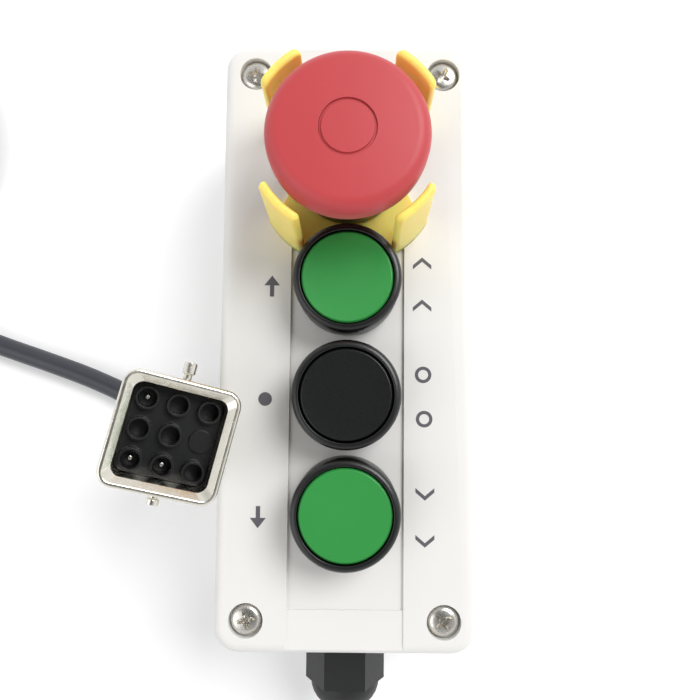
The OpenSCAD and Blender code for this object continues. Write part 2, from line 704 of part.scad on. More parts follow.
module stop_head() color(red_color) at_station(3) {
    dome_r = head_d / 2 - head_edge_r;
    dome_rise = head_dome_h - head_edge_r;
    sphere_r = (dome_r * dome_r + dome_rise * dome_rise) / (2 * dome_rise);
    under_r = head_edge_r * 0.9;
    disc_r = head_disc_d / 2 + head_disc_gap;
    disc_a = asin(disc_r / sphere_r);
    rim_a = asin(dome_r / sphere_r);
    rotate_extrude() polygon(concat(
        [[post_d / 2 + turn_gap, neck_z], [neck_d / 2, neck_z], [neck_d / 2, head_under_z],
         [head_d / 2 - under_r, head_under_z]],
        arc([head_d / 2 - under_r, head_under_z + under_r], under_r, -60, 0, corner_steps),
        arc([head_d / 2 - head_edge_r, head_rim_z], head_edge_r, 0, 90, corner_steps),
        arc([0, head_top_z - sphere_r], sphere_r, 90 - rim_a, 90 - disc_a, corner_steps),
        [[disc_r, head_top_z - head_disc_t], [0, head_top_z - head_disc_t], [0, post_top_z],
         [post_d / 2 + turn_gap, post_top_z]]));
}

module stop_head_disc() color(red_color) at_station(3)
    rotate_extrude() polygon([
        [0, head_top_z - head_disc_t], [head_disc_d / 2, head_top_z - head_disc_t],
        [head_disc_d / 2, head_top_z - head_disc_gap], [head_disc_d / 2 - head_disc_gap, head_top_z],
        [0, head_top_z]]);

// Cable gland

module along_gland(y) translate([0, y, gland_z]) rotate([90, 0, 0]) children();
gland_end_y = -box_l / 2 - gland_body_l - gland_nut_l - gland_dome_l;
seal_d = gland_w * 0.6;
seal_l = gland_nut_l / 2;
nut_wall_t = 2;

module gland_body() color(black_color)
    difference() {
        union() {
            along_gland(-box_l / 2 + wall_t + gland_inside_l)
                cylinder(d = gland_thread_d, h = wall_t + gland_inside_l);
            along_gland(-box_l / 2) cylinder(d = gland_w, h = gland_body_l, $fn = 6);
            along_gland(-box_l / 2 - gland_body_l)
                cylinder(d = gland_inner_d, h = gland_nut_l / 2);
        }
        along_gland(-box_l / 2 + wall_t + gland_inside_l + overrun)
            cylinder(d = cord_d + 2 * fit_gap, h = 2 * gland_w + gland_inside_l);
    }
gland_inner_d = gland_w * sin(60) - 2 * nut_wall_t;

module gland_lock_nut() color(black_color)
    difference() {
        along_gland(-box_l / 2 + wall_t + lock_nut_t)
            cylinder(d = gland_w + 2 * nut_wall_t, h = lock_nut_t, $fn = 6);
        along_gland(-box_l / 2 + wall_t + lock_nut_t + overrun)
            cylinder(d = gland_thread_d + 2 * fit_gap, h = lock_nut_t + 2 * overrun);
    }

module gland_seal() color(rubber_color)
    difference() {
        along_gland(-box_l / 2 - gland_body_l - gland_nut_l / 2) cylinder(d = seal_d, h = seal_l);
        along_gland(-box_l / 2 - gland_body_l - gland_nut_l / 2 + overrun)
            cylinder(d = cord_d + 2 * fit_gap, h = seal_l + 2 * overrun);
    }

module gland_dome_nut() color(black_color)
    difference() {
        union() {
            along_gland(-box_l / 2 - gland_body_l) cylinder(d = gland_w, h = gland_nut_l, $fn = 6);
            along_gland(-box_l / 2 - gland_body_l - gland_nut_l) rotate_extrude()
                polygon(concat([[0, 0]], arc([gland_w * sin(60) / 2 - gland_dome_l, 0], gland_dome_l,
                                             0, 75, corner_steps), [[0, gland_dome_l]]));
        }
        along_gland(-box_l / 2 - gland_body_l + overrun)
            cylinder(d = gland_inner_d + 2 * fit_gap, h = gland_nut_l / 2 + overrun);
        along_gland(-box_l / 2 - gland_body_l) cylinder(d = seal_d + 2 * fit_gap, h = gland_nut_l);
        along_gland(-box_l / 2) cylinder(d = cord_d + 2 * fit_gap, h = 2 * gland_w + gland_nut_l);
    }

// Cable. The routes run along the table, and their points are in millimetres.

// The first stretch starts at the gland, so its points are measured from the gland's end, and their
// heights from the table.
lead_start = [
    [0, 0], [0, -7], [-2.5, -19], [-9.5, -29.5], [-20, -36.5], [-32.5, -38.5], [-50, -38.5],
    [-68, -38.5], [-87, -38.5], [-106, -38.5], [-125, -38.5], [-141.5, -35], [-155.5, -26],
    [-164.5, -12]];
lead_drop = [25, 25, 24, 21.3, 17, 12, 6.3, 3.6];
lead_end = [
    [-168, -107.5, 3.5], [-168, -88, 3.5], [-168, -69, 3.5], [-168, -50, 3.5], [-168, -31, 3.5],
    [-168, -12, 3.5], [-168, 5.5, 3.5], [-164, 22.5, 3.8]];
lead_route = concat(
    [for (i = [0 : len(lead_start) - 1]) [lead_start[i].x, gland_end_y + lead_start[i].y,
        i < 2 ? gland_z : i < len(lead_drop) ? lead_drop[i] : cord_d / 2]],
    lead_end);
tail_route = [
    [-172, 24, 11.7], [-161, 18.6, 11.5], [-151.5, 14, 10.2], [-143, 9.8, 7.5],
    [-134.5, 5.2, 4.7], [-125, 1.4, 3.5], [-114, -2.3, 3.5], [-104, -5.7, 3.5], [-94, -9.3, 3.5]];

coil_centre = [-176.2, 74.5];
coil_start_a = 310;
coil_turns = 3.8167;
coil_low_z = cord_d / 2 + tie_t + fit_gap;
coil_rings = 24;

// How far round the coil a place is counts in turns: the spiral goes in, climbs a layer in the
// half turn where it reverses, and goes out again
function coil_radius(turn) = coil_inner_r + coil_pitch * abs(turn - coil_turns / 2);
function coil_climb(turn) = min(max(turn - coil_turns / 2 + 0.25, 0), 0.5);
function coil_point(turn) = let (a = coil_start_a + 360 * turn, r = coil_radius(turn))
    [coil_centre.x + r * cos(a), coil_centre.y + r * sin(a),
     coil_low_z + coil_layer * (1 - cos(360 * coil_climb(turn))) / 2];
function coil_way(turn, step) = unit(coil_point(turn + step) - coil_point(turn));
coil_step = 1 / coil_rings / 10;
coil_first = coil_point(0) - cord_d * coil_way(0, coil_step);
coil_last = coil_point(coil_turns) + cord_d * coil_way(coil_turns, coil_step);
// Places one diameter before and after the coil, in line with its straight ends
coil_before = coil_first - cord_d * coil_way(0, coil_step);
coil_after = coil_last + cord_d * coil_way(coil_turns, coil_step);
coil_count = ceil(coil_turns * coil_rings);
coil_route = concat([coil_first],
                    [for (i = [0 : coil_count]) coil_point(coil_turns * i / coil_count)], [coil_last]);
coil_self_gap = min([for (i = [0 : coil_count]) for (k = [i + coil_rings / 2 : 1 : coil_count])
    norm(coil_route[i + 1] - coil_route[k + 1])]) - cord_d;
echo(coil_least_gap_to_itself = coil_self_gap);

module cable_inner_end() color(cable_color)
    along_gland(core_start_y) cylinder(d = cord_d, h = core_start_y - gland_end_y);
core_start_y = -box_l / 2 + wall_t + gland_inside_l + cord_d / 2;

// One core for each terminal: it fans out of the cable, runs in its own lane along the side wall
// and turns up to its terminal
module wire_cores() color(core_color)
    for (station = [0 : 3], side = [-1, 1]) {
        strip_z = contact_shelf_z(station == 3);
        strip_end_x = block_w / 2 + shelf_l;
        lane_x = box_w / 2 - wall_t - core_d * (1.2 + 2 * (3 - station));
        low = floor_t + 2 * core_d;
        y = station_y(station);
        start_z = gland_z + core_d * 1.35 * (1.5 - station);
        fan_y = core_start_y + core_d * (0.6 + 0.7 * (3 - station));
        tube([[side * core_d * 0.6, core_start_y, start_z],
              [side * core_d * 0.6, fan_y, start_z],
              [side * lane_x * 0.5, fan_y + 2.2 * core_d, (start_z + low) / 2],
              [side * lane_x * 0.9, fan_y + 4 * core_d, low + core_d],
              [side * lane_x, fan_y + 6 * core_d, low],
              [side * lane_x, y - cord_d, low],
              [side * (strip_end_x + 4 * core_d), y, (low + strip_z) / 2],
              [side * (strip_end_x + 2 * core_d), y, strip_z + strip_t / 2],
              [side * strip_end_x, y, strip_z + strip_t / 2]], core_d, 6);
    }

module cord_lead() color(cable_color) tube(concat(lead_route, [coil_before, coil_first]), cord_d, 8);
module cord_coil() color(cable_color) tube(coil_route, cord_d, 6);
module cord_tail() color(cable_color) tube(concat([coil_last, coil_after], tail_route, plug_bend), cord_d, 8);

tie_a = 90;
tie_turns = [for (turn = [ceil(coil_turns) - 1 : -1 : 0])
    let (t = turn + (tie_a + 360 - coil_start_a) / 360) if (t < coil_turns) coil_radius(t)];
module coil_tie() color(black_color)
    translate([coil_centre.x, coil_centre.y, 0]) rotate([0, 0, tie_a]) {
        sag = tie_w * tie_w / 8 / coil_inner_r;
        near = min(tie_turns) - cord_d / 2 - sag - 2 * fit_gap;
        far = max(tie_turns) + cord_d / 2 + sag + 2 * fit_gap;
        top = coil_low_z + coil_layer + cord_d / 2 + fit_gap;
        difference() {
            translate([near - tie_t, -tie_w / 2, 0])
                cube([far - near + 2 * tie_t, tie_w, top + tie_t]);
            translate([near, -tie_w / 2 - overrun, tie_t])
                cube([far - near, tie_w + 2 * overrun, top - tie_t]);
        }
    }

// Plug. It leans on the box's left edge with its opening up, and its cable bends down to the table.

plug_place = [-box_w / 2 - 6, -26.4, box_h + 24];
plug_azimuth = -8.4;
plug_tilt = 17.2;
plug_spin = -5.9;
plug_bend_r = 28;
plug_run_a = -27;
plug_foot_z = cord_d / 2;
module on_plug()
    translate(plug_place) rotate([0, 0, plug_azimuth]) rotate([0, plug_tilt, 0])
        rotate([0, 0, plug_spin]) children();

// The plug's axis, and the bend that takes the cable up to it from the way that it runs on the table
plug_axis = [sin(plug_tilt) * cos(plug_azimuth), sin(plug_tilt) * sin(plug_azimuth), cos(plug_tilt)];
plug_run = [cos(plug_run_a), sin(plug_run_a), 0];
plug_rise = square_to(plug_run, plug_axis);
plug_bend_a = acos(plug_axis * plug_run);
plug_bend_out = plug_bend_r * (sin(plug_bend_a) * plug_run + (1 - cos(plug_bend_a)) * plug_rise);
plug_straight = (plug_place.z - plug_foot_z - plug_bend_out.z) / plug_axis.z;
plug_foot = plug_place - plug_straight * plug_axis - plug_bend_out;
plug_bend_steps = 4;
plug_end = plug_body_h + plug_taper_h + plug_nut_l;
plug_bend = concat(
    [for (i = [0 : plug_bend_steps]) let (a = plug_bend_a * i / plug_bend_steps)
        plug_foot + plug_bend_r * (sin(a) * plug_run + (1 - cos(a)) * plug_rise)],
    [plug_place - plug_end * plug_axis]);

mouth_w = plug_rim_w - 2 * plug_lip_t;
throat_w = mouth_w - 2 * plug_mouth_w;
module plug_hood() color(steel_color) on_plug()
    difference() {
        union() {
            loft([[plug_rim_w, plug_rim_w, plug_corner_r, -plug_rim_h],
                  [plug_rim_w, plug_rim_w, plug_corner_r, -plug_lip_t / 2],
                  [plug_rim_w - plug_lip_t / 2, plug_rim_w - plug_lip_t / 2,
                   plug_corner_r - plug_lip_t / 4, -plug_lip_t / 8],
                  [plug_rim_w - plug_lip_t, plug_rim_w - plug_lip_t, plug_corner_r - plug_lip_t / 2, 0]]);
            loft([[plug_nut_d, plug_nut_d, plug_nut_d / 2.02, -plug_body_h - plug_taper_h],
                  [plug_foot_w, plug_foot_w, plug_corner_r, -plug_body_h],
                  [plug_foot_w, plug_foot_w, plug_corner_r, -plug_recess_depth - insert_plate_t
                   - plug_taper_h],
                  [plug_body_w, plug_body_w, plug_corner_r, -plug_recess_depth - insert_plate_t - 1],
                  [plug_body_w, plug_body_w, plug_corner_r, -plug_rim_h / 2]]);
        }
        loft([[insert_w + 2 * fit_gap, insert_w + 2 * fit_gap, insert_corner_r,
               -plug_recess_depth - insert_plate_t],
              [insert_w + 2 * fit_gap, insert_w + 2 * fit_gap, insert_corner_r, -plug_recess_depth],
              [throat_w, throat_w, insert_corner_r, -plug_mouth_w],
              [mouth_w, mouth_w, insert_corner_r, 0],
              [mouth_w, mouth_w, insert_corner_r, overrun]]);
        rounded_block(insert_foot_w + 2 * fit_gap, insert_foot_w + 2 * fit_gap, insert_h, insert_corner_r,
                      -plug_recess_depth - insert_h);
        translate([0, 0, -plug_body_h - plug_taper_h - overrun])
            cylinder(d = cord_d + 2 * fit_gap, h = plug_body_h);
    }
insert_corner_r = 2.5;

// The nine places of the insert's grid
function grid_place(column, row) = [(column - 1) * sleeve_pitch, (1 - row) * sleeve_pitch, 0];
blank_place = grid_place(2, 1);

module plug_insert() color(black_color) on_plug()
    difference() {
        union() {
            rounded_block(insert_w, insert_w, insert_plate_t, insert_corner_r,
                          -plug_recess_depth - insert_plate_t);
            rounded_block(insert_foot_w, insert_foot_w, insert_h - overrun, insert_corner_r,
                          -plug_recess_depth - insert_h);
            for (column = [0 : 2], row = [0 : 2])
                if (grid_place(column, row) != blank_place)
                    translate(grid_place(column, row)) translate([0, 0, -plug_recess_depth - overrun])
                        cylinder(d = sleeve_d, h = sleeve_h + overrun);
            translate(blank_place) translate([0, 0, -plug_recess_depth - overrun])
                cylinder(d = sleeve_d + 2 * fit_gap, h = overrun + sleeve_h / 4);
        }
        for (column = [0 : 2], row = [0 : 2])
            if (grid_place(column, row) != blank_place)
                translate(grid_place(column, row)) translate([0, 0, -plug_recess_depth - insert_h / 2])
                    cylinder(d = sleeve_bore_d, h = insert_h);
    }

module plug_contacts() color(steel_color) on_plug()
    for (column = [0 : 2], row = [0 : 2])
        if (grid_place(column, row) != blank_place)
            translate(grid_place(column, row))
                translate([0, 0, -plug_recess_depth - insert_h / 2])
                    cylinder(d = pin_d, h = pin_is_long(column, row) ? insert_h / 2 : insert_h / 6);
// Long pins show in the mouths of their sleeves
function pin_is_long(column, row) = column == 0 && row != 1 || column == 1 && row == 2;

module plug_locking_pegs() color(steel_color) on_plug()
    for (side = [0, 180]) rotate([0, 0, side])
        translate([0, plug_rim_w / 2, -plug_rim_h / 2]) rotate([-90, 0, 0]) {
            reach = side == 0 ? peg_h : low_peg_h;
            cylinder(d = peg_d * 0.65, h = reach);
            translate([0, 0, reach / 3]) cylinder(d = peg_d, h = reach * 2 / 3);
        }

module plug_gland_nut() color(steel_color) on_plug()
    difference() {
        translate([0, 0, -plug_end]) rotate_extrude() polygon([
            [0, 0], [plug_nut_d / 3, 0], [plug_nut_d / 2 * 0.93, plug_nut_l / 4],
            [plug_nut_d / 2 * 0.93, plug_nut_l], [0, plug_nut_l]]);
        translate([0, 0, -plug_end - overrun])
            cylinder(d = cord_d + 2 * fit_gap, h = plug_nut_l + 2 * overrun);
    }

base_housing();
lid();
lid_gasket();
lid_screws();
screw_inserts();
for (station = [0 : 2]) {
    name = button_names[station];
    button_bezel(station);
    panel_gasket(station, panel_z);
    ring_nut(station);
    button_cap(station);
    return_spring(station, cap_under_z);
    contact_block(station, false);
    contact_bridge(station, false, cap_travel);
    terminals(station, false);
}
stop_guard();
stop_body();
panel_gasket(3, guard_top_z);  // stop_panel_gasket
ring_nut(3);  // stop_ring_nut
stop_plunger();
stop_head();
stop_head_disc();
return_spring(3, flange_z - flange_t);  // stop_return_spring
contact_block(3, true);  // stop_contact_block
contact_bridge(3, true, stop_travel);  // stop_contact_bridge
terminals(3, true);  // stop_terminals
gland_body();
gland_lock_nut();
gland_seal();
gland_dome_nut();
cable_inner_end();
wire_cores();
cord_lead();
cord_coil();
cord_tail();
coil_tie();
plug_hood();
plug_insert();
plug_contacts();
plug_locking_pegs();
plug_gland_nut();
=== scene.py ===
"""Elevator inspection box: a hand-held station with three push buttons, a guarded stop button, a
cable gland and a lead that is wound into a coil and ends in a square plug.

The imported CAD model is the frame. Its outer pieces are refined here or made anew in the same
places, and every piece gets its finish. Lengths in the classes are millimetres, and the frame's
own lengths are metres.
"""

import json
import logging
import math
from dataclasses import dataclass
from enum import Enum
from typing import Any, Iterable, Sequence

import bmesh
import bpy
from mathutils import Matrix, Vector


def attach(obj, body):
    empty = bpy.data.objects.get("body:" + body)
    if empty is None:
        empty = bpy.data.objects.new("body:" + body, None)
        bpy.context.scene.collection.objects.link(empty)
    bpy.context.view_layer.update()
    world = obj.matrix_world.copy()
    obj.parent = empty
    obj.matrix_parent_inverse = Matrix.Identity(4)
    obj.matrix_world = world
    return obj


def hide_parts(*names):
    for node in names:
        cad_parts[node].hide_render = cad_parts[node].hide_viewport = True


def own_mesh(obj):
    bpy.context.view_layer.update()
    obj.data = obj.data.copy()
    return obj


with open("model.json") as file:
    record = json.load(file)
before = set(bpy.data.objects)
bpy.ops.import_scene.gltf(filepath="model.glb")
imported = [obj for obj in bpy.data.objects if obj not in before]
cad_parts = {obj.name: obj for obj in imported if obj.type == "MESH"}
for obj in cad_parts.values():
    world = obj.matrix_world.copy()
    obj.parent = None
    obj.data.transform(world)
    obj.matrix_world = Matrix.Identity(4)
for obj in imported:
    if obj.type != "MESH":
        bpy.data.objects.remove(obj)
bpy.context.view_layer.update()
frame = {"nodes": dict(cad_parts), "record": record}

LOG = logging.getLogger("inspection_box")
MM = 0.001
# Points of a turned or cut shape that are one point, in metres
SAME_POINT = 1e-7
# Corners of a CAD node's triangles that are one corner, in metres
SAME_CORNER = 2e-6
# Turn between triangles of a CAD node that lie in one face, in degrees
FLAT_TURN = 0.5
Profile = Sequence[tuple[float, float]]
Point = tuple[float, float, float]


class Body(Enum):
    """The bodies that the new pieces ride on."""

    HOUSING = "housing"
    DOWN = "down_button"
    COMMON = "common_button"
    UP = "up_button"
    HEAD = "stop_head"


class Slot(Enum):
    """The record's material slots."""

    HOUSING = "housing_plastic"
    BLACK = "black_plastic"
    GREEN = "green_plastic"
    RED = "red_plastic"
    YELLOW = "yellow_plastic"
    GLAND = "gland_plastic"
    RUBBER = "rubber"
    STEEL = "plated_steel"
    ZINC = "plated_zinc"
    BRASS = "brass"
    COPPER = "copper"
    CABLE = "cable_jacket"
    CORES = "core_insulation"
    STRAP = "tie_fabric"


# Finishes


def linear(colour: str) -> tuple[float, float, float, float]:
    """Turns an sRGB hex colour to linear light.

    Args:
        colour: The colour as "#rrggbb".

    Returns:
        The linear colour with an alpha of 1.
    """
    # The sRGB standard's own curve
    parts = [int(colour[i:i + 2], 16) / 255 for i in (1, 3, 5)]
    red, green, blue = (c / 12.92 if c <= 0.04045 else ((c + 0.055) / 1.055) ** 2.4 for c in parts)
    return red, green, blue, 1.0


def add_node(tree: bpy.types.NodeTree, kind: str, settings: dict[str, Any] | None = None,
             inputs: dict[str | int, Any] | None = None) -> bpy.types.Node:
    """Adds a node to a tree.

    Args:
        tree: The node tree.
        kind: The node's type.
        settings: The node's own settings by name.
        inputs: Values for its sockets, or the sockets that are linked to them.

    Returns:
        The new node.
    """
    node = tree.nodes.new(kind)
    for key, value in (settings or {}).items():
        setattr(node, key, value)
    for key, value in (inputs or {}).items():
        if isinstance(value, bpy.types.NodeSocket):
            tree.links.new(value, node.inputs[key])
        else:
            node.inputs[key].default_value = value
    return node


# Every finish's noise: the weight of its finer layers, how many of them the tone and the grain
# have, and the grain's values between which the roughness swings
LAYER_WEIGHT = 0.55
TONE_DETAIL = 3.0
GRAIN_DETAIL = 4.0
GRAIN_LOW = 0.3
GRAIN_HIGH = 0.7


@dataclass(frozen=True)
class Finish:
    """A real material with its surface: a base tone that drifts a little, and a fine grain.

    Attributes:
        name: What the material is and how its surface was made.
        colour: Its colour.
        shade: The tone that the colour drifts to.
        roughness: Its mean roughness.
        swing: How far the roughness goes up and down.
        metallic: 1 for a metal.
        ior: Refractive index of what isn't a metal.
        drift: Size of the patches that the tone drifts over.
        grain: Size of the surface grain.
        depth: Height of the grain.
        stretch: How much longer the grain is along X, Y and Z, for drawn or woven surfaces.
        sheen: Weight of a sheen.
        depth_light: Weight of the light that goes into the plastic and comes out beside.
        reach: How far that light goes.
    """

    name: str
    colour: str
    shade: str
    roughness: float
    swing: float = 0.04
    metallic: float = 0.0
    ior: float = 1.5
    drift: float = 30.0
    grain: float = 0.5
    depth: float = 0.004
    stretch: Point = (1.0, 1.0, 1.0)
    sheen: float = 0.0
    depth_light: float = 0.0
    reach: float = 2.0

    def noise(self, tree: bpy.types.NodeTree, place: bpy.types.NodeSocket, size: float,
              detail: float) -> bpy.types.NodeSocket:
        """Adds a noise pattern.

        Args:
            tree: The material's node tree.
            place: The socket with the place on the piece.
            size: The pattern's real size, in millimetres.
            detail: Number of finer layers.

        Returns:
            The socket with the pattern's value.
        """
        return add_node(tree, "ShaderNodeTexNoise", None,
                        {"Vector": place, "Scale": 1 / (size * MM), "Detail": detail,
                         "Roughness": LAYER_WEIGHT}).outputs["Fac"]

    def material(self) -> bpy.types.Material:
        """Builds the material, or returns it where it is there already.

        Returns:
            The node material.
        """
        found = bpy.data.materials.get(self.name)
        if found:
            return found
        material = bpy.data.materials.new(self.name)
        material.use_nodes = True
        tree = material.node_tree
        tree.nodes.clear()
        place = add_node(tree, "ShaderNodeTexCoord").outputs["Object"]
        along = add_node(tree, "ShaderNodeMapping", None,
                         {"Vector": place, "Scale": tuple(1 / s for s in self.stretch)}).outputs[0]
        patches = self.noise(tree, place, self.drift, TONE_DETAIL)
        grain = self.noise(tree, along, self.grain, GRAIN_DETAIL)
        tone = add_node(tree, "ShaderNodeMix", {"data_type": "RGBA"},
                        {0: patches, 6: linear(self.colour), 7: linear(self.shade)}).outputs[2]
        rough = add_node(tree, "ShaderNodeMapRange", None,
                         {"Value": grain, "From Min": GRAIN_LOW, "From Max": GRAIN_HIGH,
                          "To Min": self.roughness - self.swing,
                          "To Max": self.roughness + self.swing}).outputs[0]
        bump = add_node(tree, "ShaderNodeBump", None,
                        {"Height": grain, "Strength": 1.0, "Distance": self.depth * MM}).outputs[0]
        shader = add_node(tree, "ShaderNodeBsdfPrincipled", None,
                          {"Base Color": tone, "Roughness": rough, "Normal": bump,
                           "Metallic": self.metallic, "Sheen Weight": self.sheen,
                           "Subsurface Weight": self.depth_light,
                           "Subsurface Scale": self.reach * MM})
        if not self.metallic:
            shader.inputs["IOR"].default_value = self.ior
        add_node(tree, "ShaderNodeOutputMaterial", None, {"Surface": shader.outputs[0]})
        return material


# Moulded ABS: an off-white shell with the dull, barely pebbled skin that a spark-eroded mould gives
SHELL = Finish("moulded_abs_pale", "#e6e5e2", "#e0dfdc", 0.42, grain=0.55, depth=0.006, ior=1.53)
# Moulded nylon: black, with a satin skin that shows soft highlights on its edges
NYLON = Finish("moulded_nylon_black", "#090a0b", "#0f1011", 0.31, grain=0.4, depth=0.004, ior=1.53)
# Moulded nylon of the gland, duller because its mould is eroded
GLAND_NYLON = Finish("moulded_nylon_matt", "#0f1011", "#151617", 0.52, grain=0.5, depth=0.006,
                     ior=1.53)
# Moulded polycarbonate of the green caps: dyed through and nearly smooth
GREEN_CAP = Finish("moulded_polycarbonate_green", "#2a893c", "#2e9142", 0.34, grain=0.5,
                   depth=0.002, ior=1.58)
# Moulded nylon of the mushroom head: matt red with a faint powdery sheen
RED_HEAD = Finish("moulded_nylon_red", "#bc3a3f", "#b6363b", 0.5, grain=0.35, depth=0.003,
                  sheen=0.12, ior=1.53)
# Moulded polypropylene of the guard: yellow, a little waxy, and light comes through its edges
YELLOW_GUARD = Finish("moulded_polypropylene_yellow", "#fcdd6c", "#fde278", 0.4, grain=0.6,
                      depth=0.003, ior=1.49, depth_light=0.7, reach=4.0)
# Seal rubber: dull black
RUBBER = Finish("moulded_rubber", "#262628", "#2d2d30", 0.7, grain=0.3, depth=0.005, ior=1.52)
# Nickel-plated steel: bright, with a fine grain in the plating
STEEL = Finish("nickel_plated_steel", "#e0ddd6", "#d2cfc9", 0.27, metallic=1.0, drift=4.0,
               grain=0.25, depth=0.003)
# Nickel-plated die-cast zinc: bright and warm, slightly wavy from the casting
ZINC = Finish("nickel_plated_zinc", "#efece2", "#dedacd", 0.22, swing=0.06, metallic=1.0, drift=7.0,
              grain=2.5, depth=0.05)
# Turned brass of inserts and terminals
BRASS = Finish("turned_brass", "#c8a557", "#bd9a4d", 0.25, metallic=1.0, drift=5.0, grain=0.2,
               depth=0.003)
# Rolled copper alloy of the contact bridges
COPPER = Finish("rolled_copper", "#b87548", "#ab6a40", 0.3, metallic=1.0, drift=6.0, grain=0.3,
                depth=0.003)
# Extruded PVC jacket: dark grey, satin and faintly uneven
JACKET = Finish("extruded_pvc_jacket", "#303239", "#373a42", 0.42, grain=1.4, depth=0.012, ior=1.53)
# Core insulation: glossy coloured PVC
CORES = Finish("extruded_pvc_core", "#b23b3b", "#a83434", 0.3, grain=0.5, depth=0.002, ior=1.53)
# Hook-and-loop strap: woven nylon with a fuzzy face
STRAP = Finish("woven_strap", "#1b1b1d", "#29292c", 0.85, grain=0.45, depth=0.06,
               stretch=(1.0, 1.0, 2.5), sheen=0.4, ior=1.53)
# Screen-printed ink of the marks: flat dark grey
INK = Finish("printed_ink", "#55545a", "#5f5e63", 0.6, grain=0.2, depth=0.001)

SLOT_FINISH = {
    Slot.HOUSING: SHELL, Slot.BLACK: NYLON, Slot.GREEN: GREEN_CAP, Slot.RED: RED_HEAD,
    Slot.YELLOW: YELLOW_GUARD, Slot.GLAND: GLAND_NYLON, Slot.RUBBER: RUBBER, Slot.STEEL: STEEL,
    Slot.ZINC: ZINC, Slot.BRASS: BRASS, Slot.COPPER: COPPER, Slot.CABLE: JACKET, Slot.CORES: CORES,
    Slot.STRAP: STRAP,
}


# Shaping


def turned(profile: Profile, closed: bool = False, steps: int = 96) -> bmesh.types.BMesh:
    """Turns a profile about Z.

    Args:
        profile: Radius and height of each corner.
        closed: Whether the last corner joins the first, as on a ring.
        steps: Number of facets around.

    Returns:
        The turned mesh, in metres.
    """
    shape = bmesh.new()
    corners = [shape.verts.new((r * MM, 0, z * MM)) for r, z in profile]
    edges = [shape.edges.new(pair) for pair in zip(corners, corners[1:])]
    if closed:
        edges.append(shape.edges.new((corners[-1], corners[0])))
    bmesh.ops.spin(shape, geom=corners + edges, cent=(0, 0, 0), axis=(0, 0, 1),
                   angle=2 * math.pi, steps=steps, use_merge=True)
    bmesh.ops.remove_doubles(shape, verts=shape.verts, dist=SAME_POINT)
    bmesh.ops.recalc_face_normals(shape, faces=shape.faces)
    return shape


def edge_points(radius: float, height: float, edge: Profile) -> list[tuple[float, float]]:
    """Lays out the rounded outer edge of a turned shape.

    Args:
        radius: Radius of the sharp corner that it takes away.
        height: Height of that corner.
        edge: How far in and how far down each of its points is.

    Returns:
        Radius and height of each point.
    """
    return [(radius - inward, height - down) for inward, down in edge]


def moved(shape: bmesh.types.BMesh, place: Matrix) -> bmesh.types.BMesh:
    """Moves a mesh by a matrix and returns it."""
    bmesh.ops.transform(shape, matrix=place, verts=shape.verts)
    return shape


def joined(shapes: Iterable[bmesh.types.BMesh]) -> bmesh.types.BMesh:
    """Joins meshes into one and frees them.

    Args:
        shapes: The meshes.

    Returns:
        One mesh with all of them.
    """
    whole = bmesh.new()
    for shape in shapes:
        part = bpy.data.meshes.new("part")
        shape.to_mesh(part)
        shape.free()
        whole.from_mesh(part)
        bpy.data.meshes.remove(part)
    return whole


def copied(node: str) -> bmesh.types.BMesh:
    """Copies a CAD node's mesh with its triangles merged into whole faces.

    Args:
        node: The node's name.

    Returns:
        The merged copy.
    """
    shape = bmesh.new()
    shape.from_mesh(frame["nodes"][node].data)
    bmesh.ops.remove_doubles(shape, verts=shape.verts, dist=SAME_CORNER)
    bmesh.ops.dissolve_limit(shape, angle_limit=math.radians(FLAT_TURN), verts=shape.verts,
                             edges=shape.edges)
    return shape


def piece(shape: bmesh.types.BMesh, name: str, slot: Slot, body: Body, nodes: Sequence[str] = (),
          rounding: float = 0.0, segments: int = 3, crease: float = 32.0,
          finish: Finish | None = None) -> bpy.types.Object:
    """Makes a finished piece from a mesh in the row frame.

    Args:
        shape: The mesh, which is freed.
        name: The piece's name.
        slot: The record's slot that it takes its finish from.
        body: The body that it rides on.
        nodes: The CAD nodes that it stands for.
        rounding: Radius of its rounded edges, in millimetres.
        segments: Number of facets across a rounded edge.
        crease: Angle in degrees past which an edge is sharp.
        finish: A finish other than the slot's own.

    Returns:
        The piece.
    """
    for face in shape.faces:
        face.smooth = True
    for edge in shape.edges:
        edge.smooth = len(edge.link_faces) == 2 and edge.calc_face_angle(0.0) < math.radians(crease)
    mesh = bpy.data.meshes.new(name)
    shape.to_mesh(mesh)
    shape.free()
    thing = bpy.data.objects.new(name, mesh)
    bpy.context.scene.collection.objects.link(thing)
    if rounding:
        bevel = thing.modifiers.new("rounded_edges", "BEVEL")
        bevel.width = rounding * MM
        bevel.segments = segments
        bevel.limit_method = "ANGLE"
        bevel.angle_limit = math.radians(crease)
        bevel.harden_normals = True
    return dressed(thing, slot, body, nodes, finish)


def dressed(thing: bpy.types.Object, slot: Slot, body: Body, nodes: Sequence[str] = (),
            finish: Finish | None = None) -> bpy.types.Object:
    """Gives a piece its finish and its body, and hides the nodes that it stands for.

    Args:
        thing: The piece.
        slot: The record's material slot.
        body: The body that it rides on.
        nodes: The CAD nodes that it stands for.
        finish: A finish other than the slot's own.

    Returns:
        The same piece.
    """
    thing.data.materials.clear()
    thing.data.materials.append((finish or SLOT_FINISH[slot]).material())
    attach(thing, body.value)
    if nodes:
        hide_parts(*nodes)
    LOG.info("%s rides on %s", thing.name, body.value)
    return thing


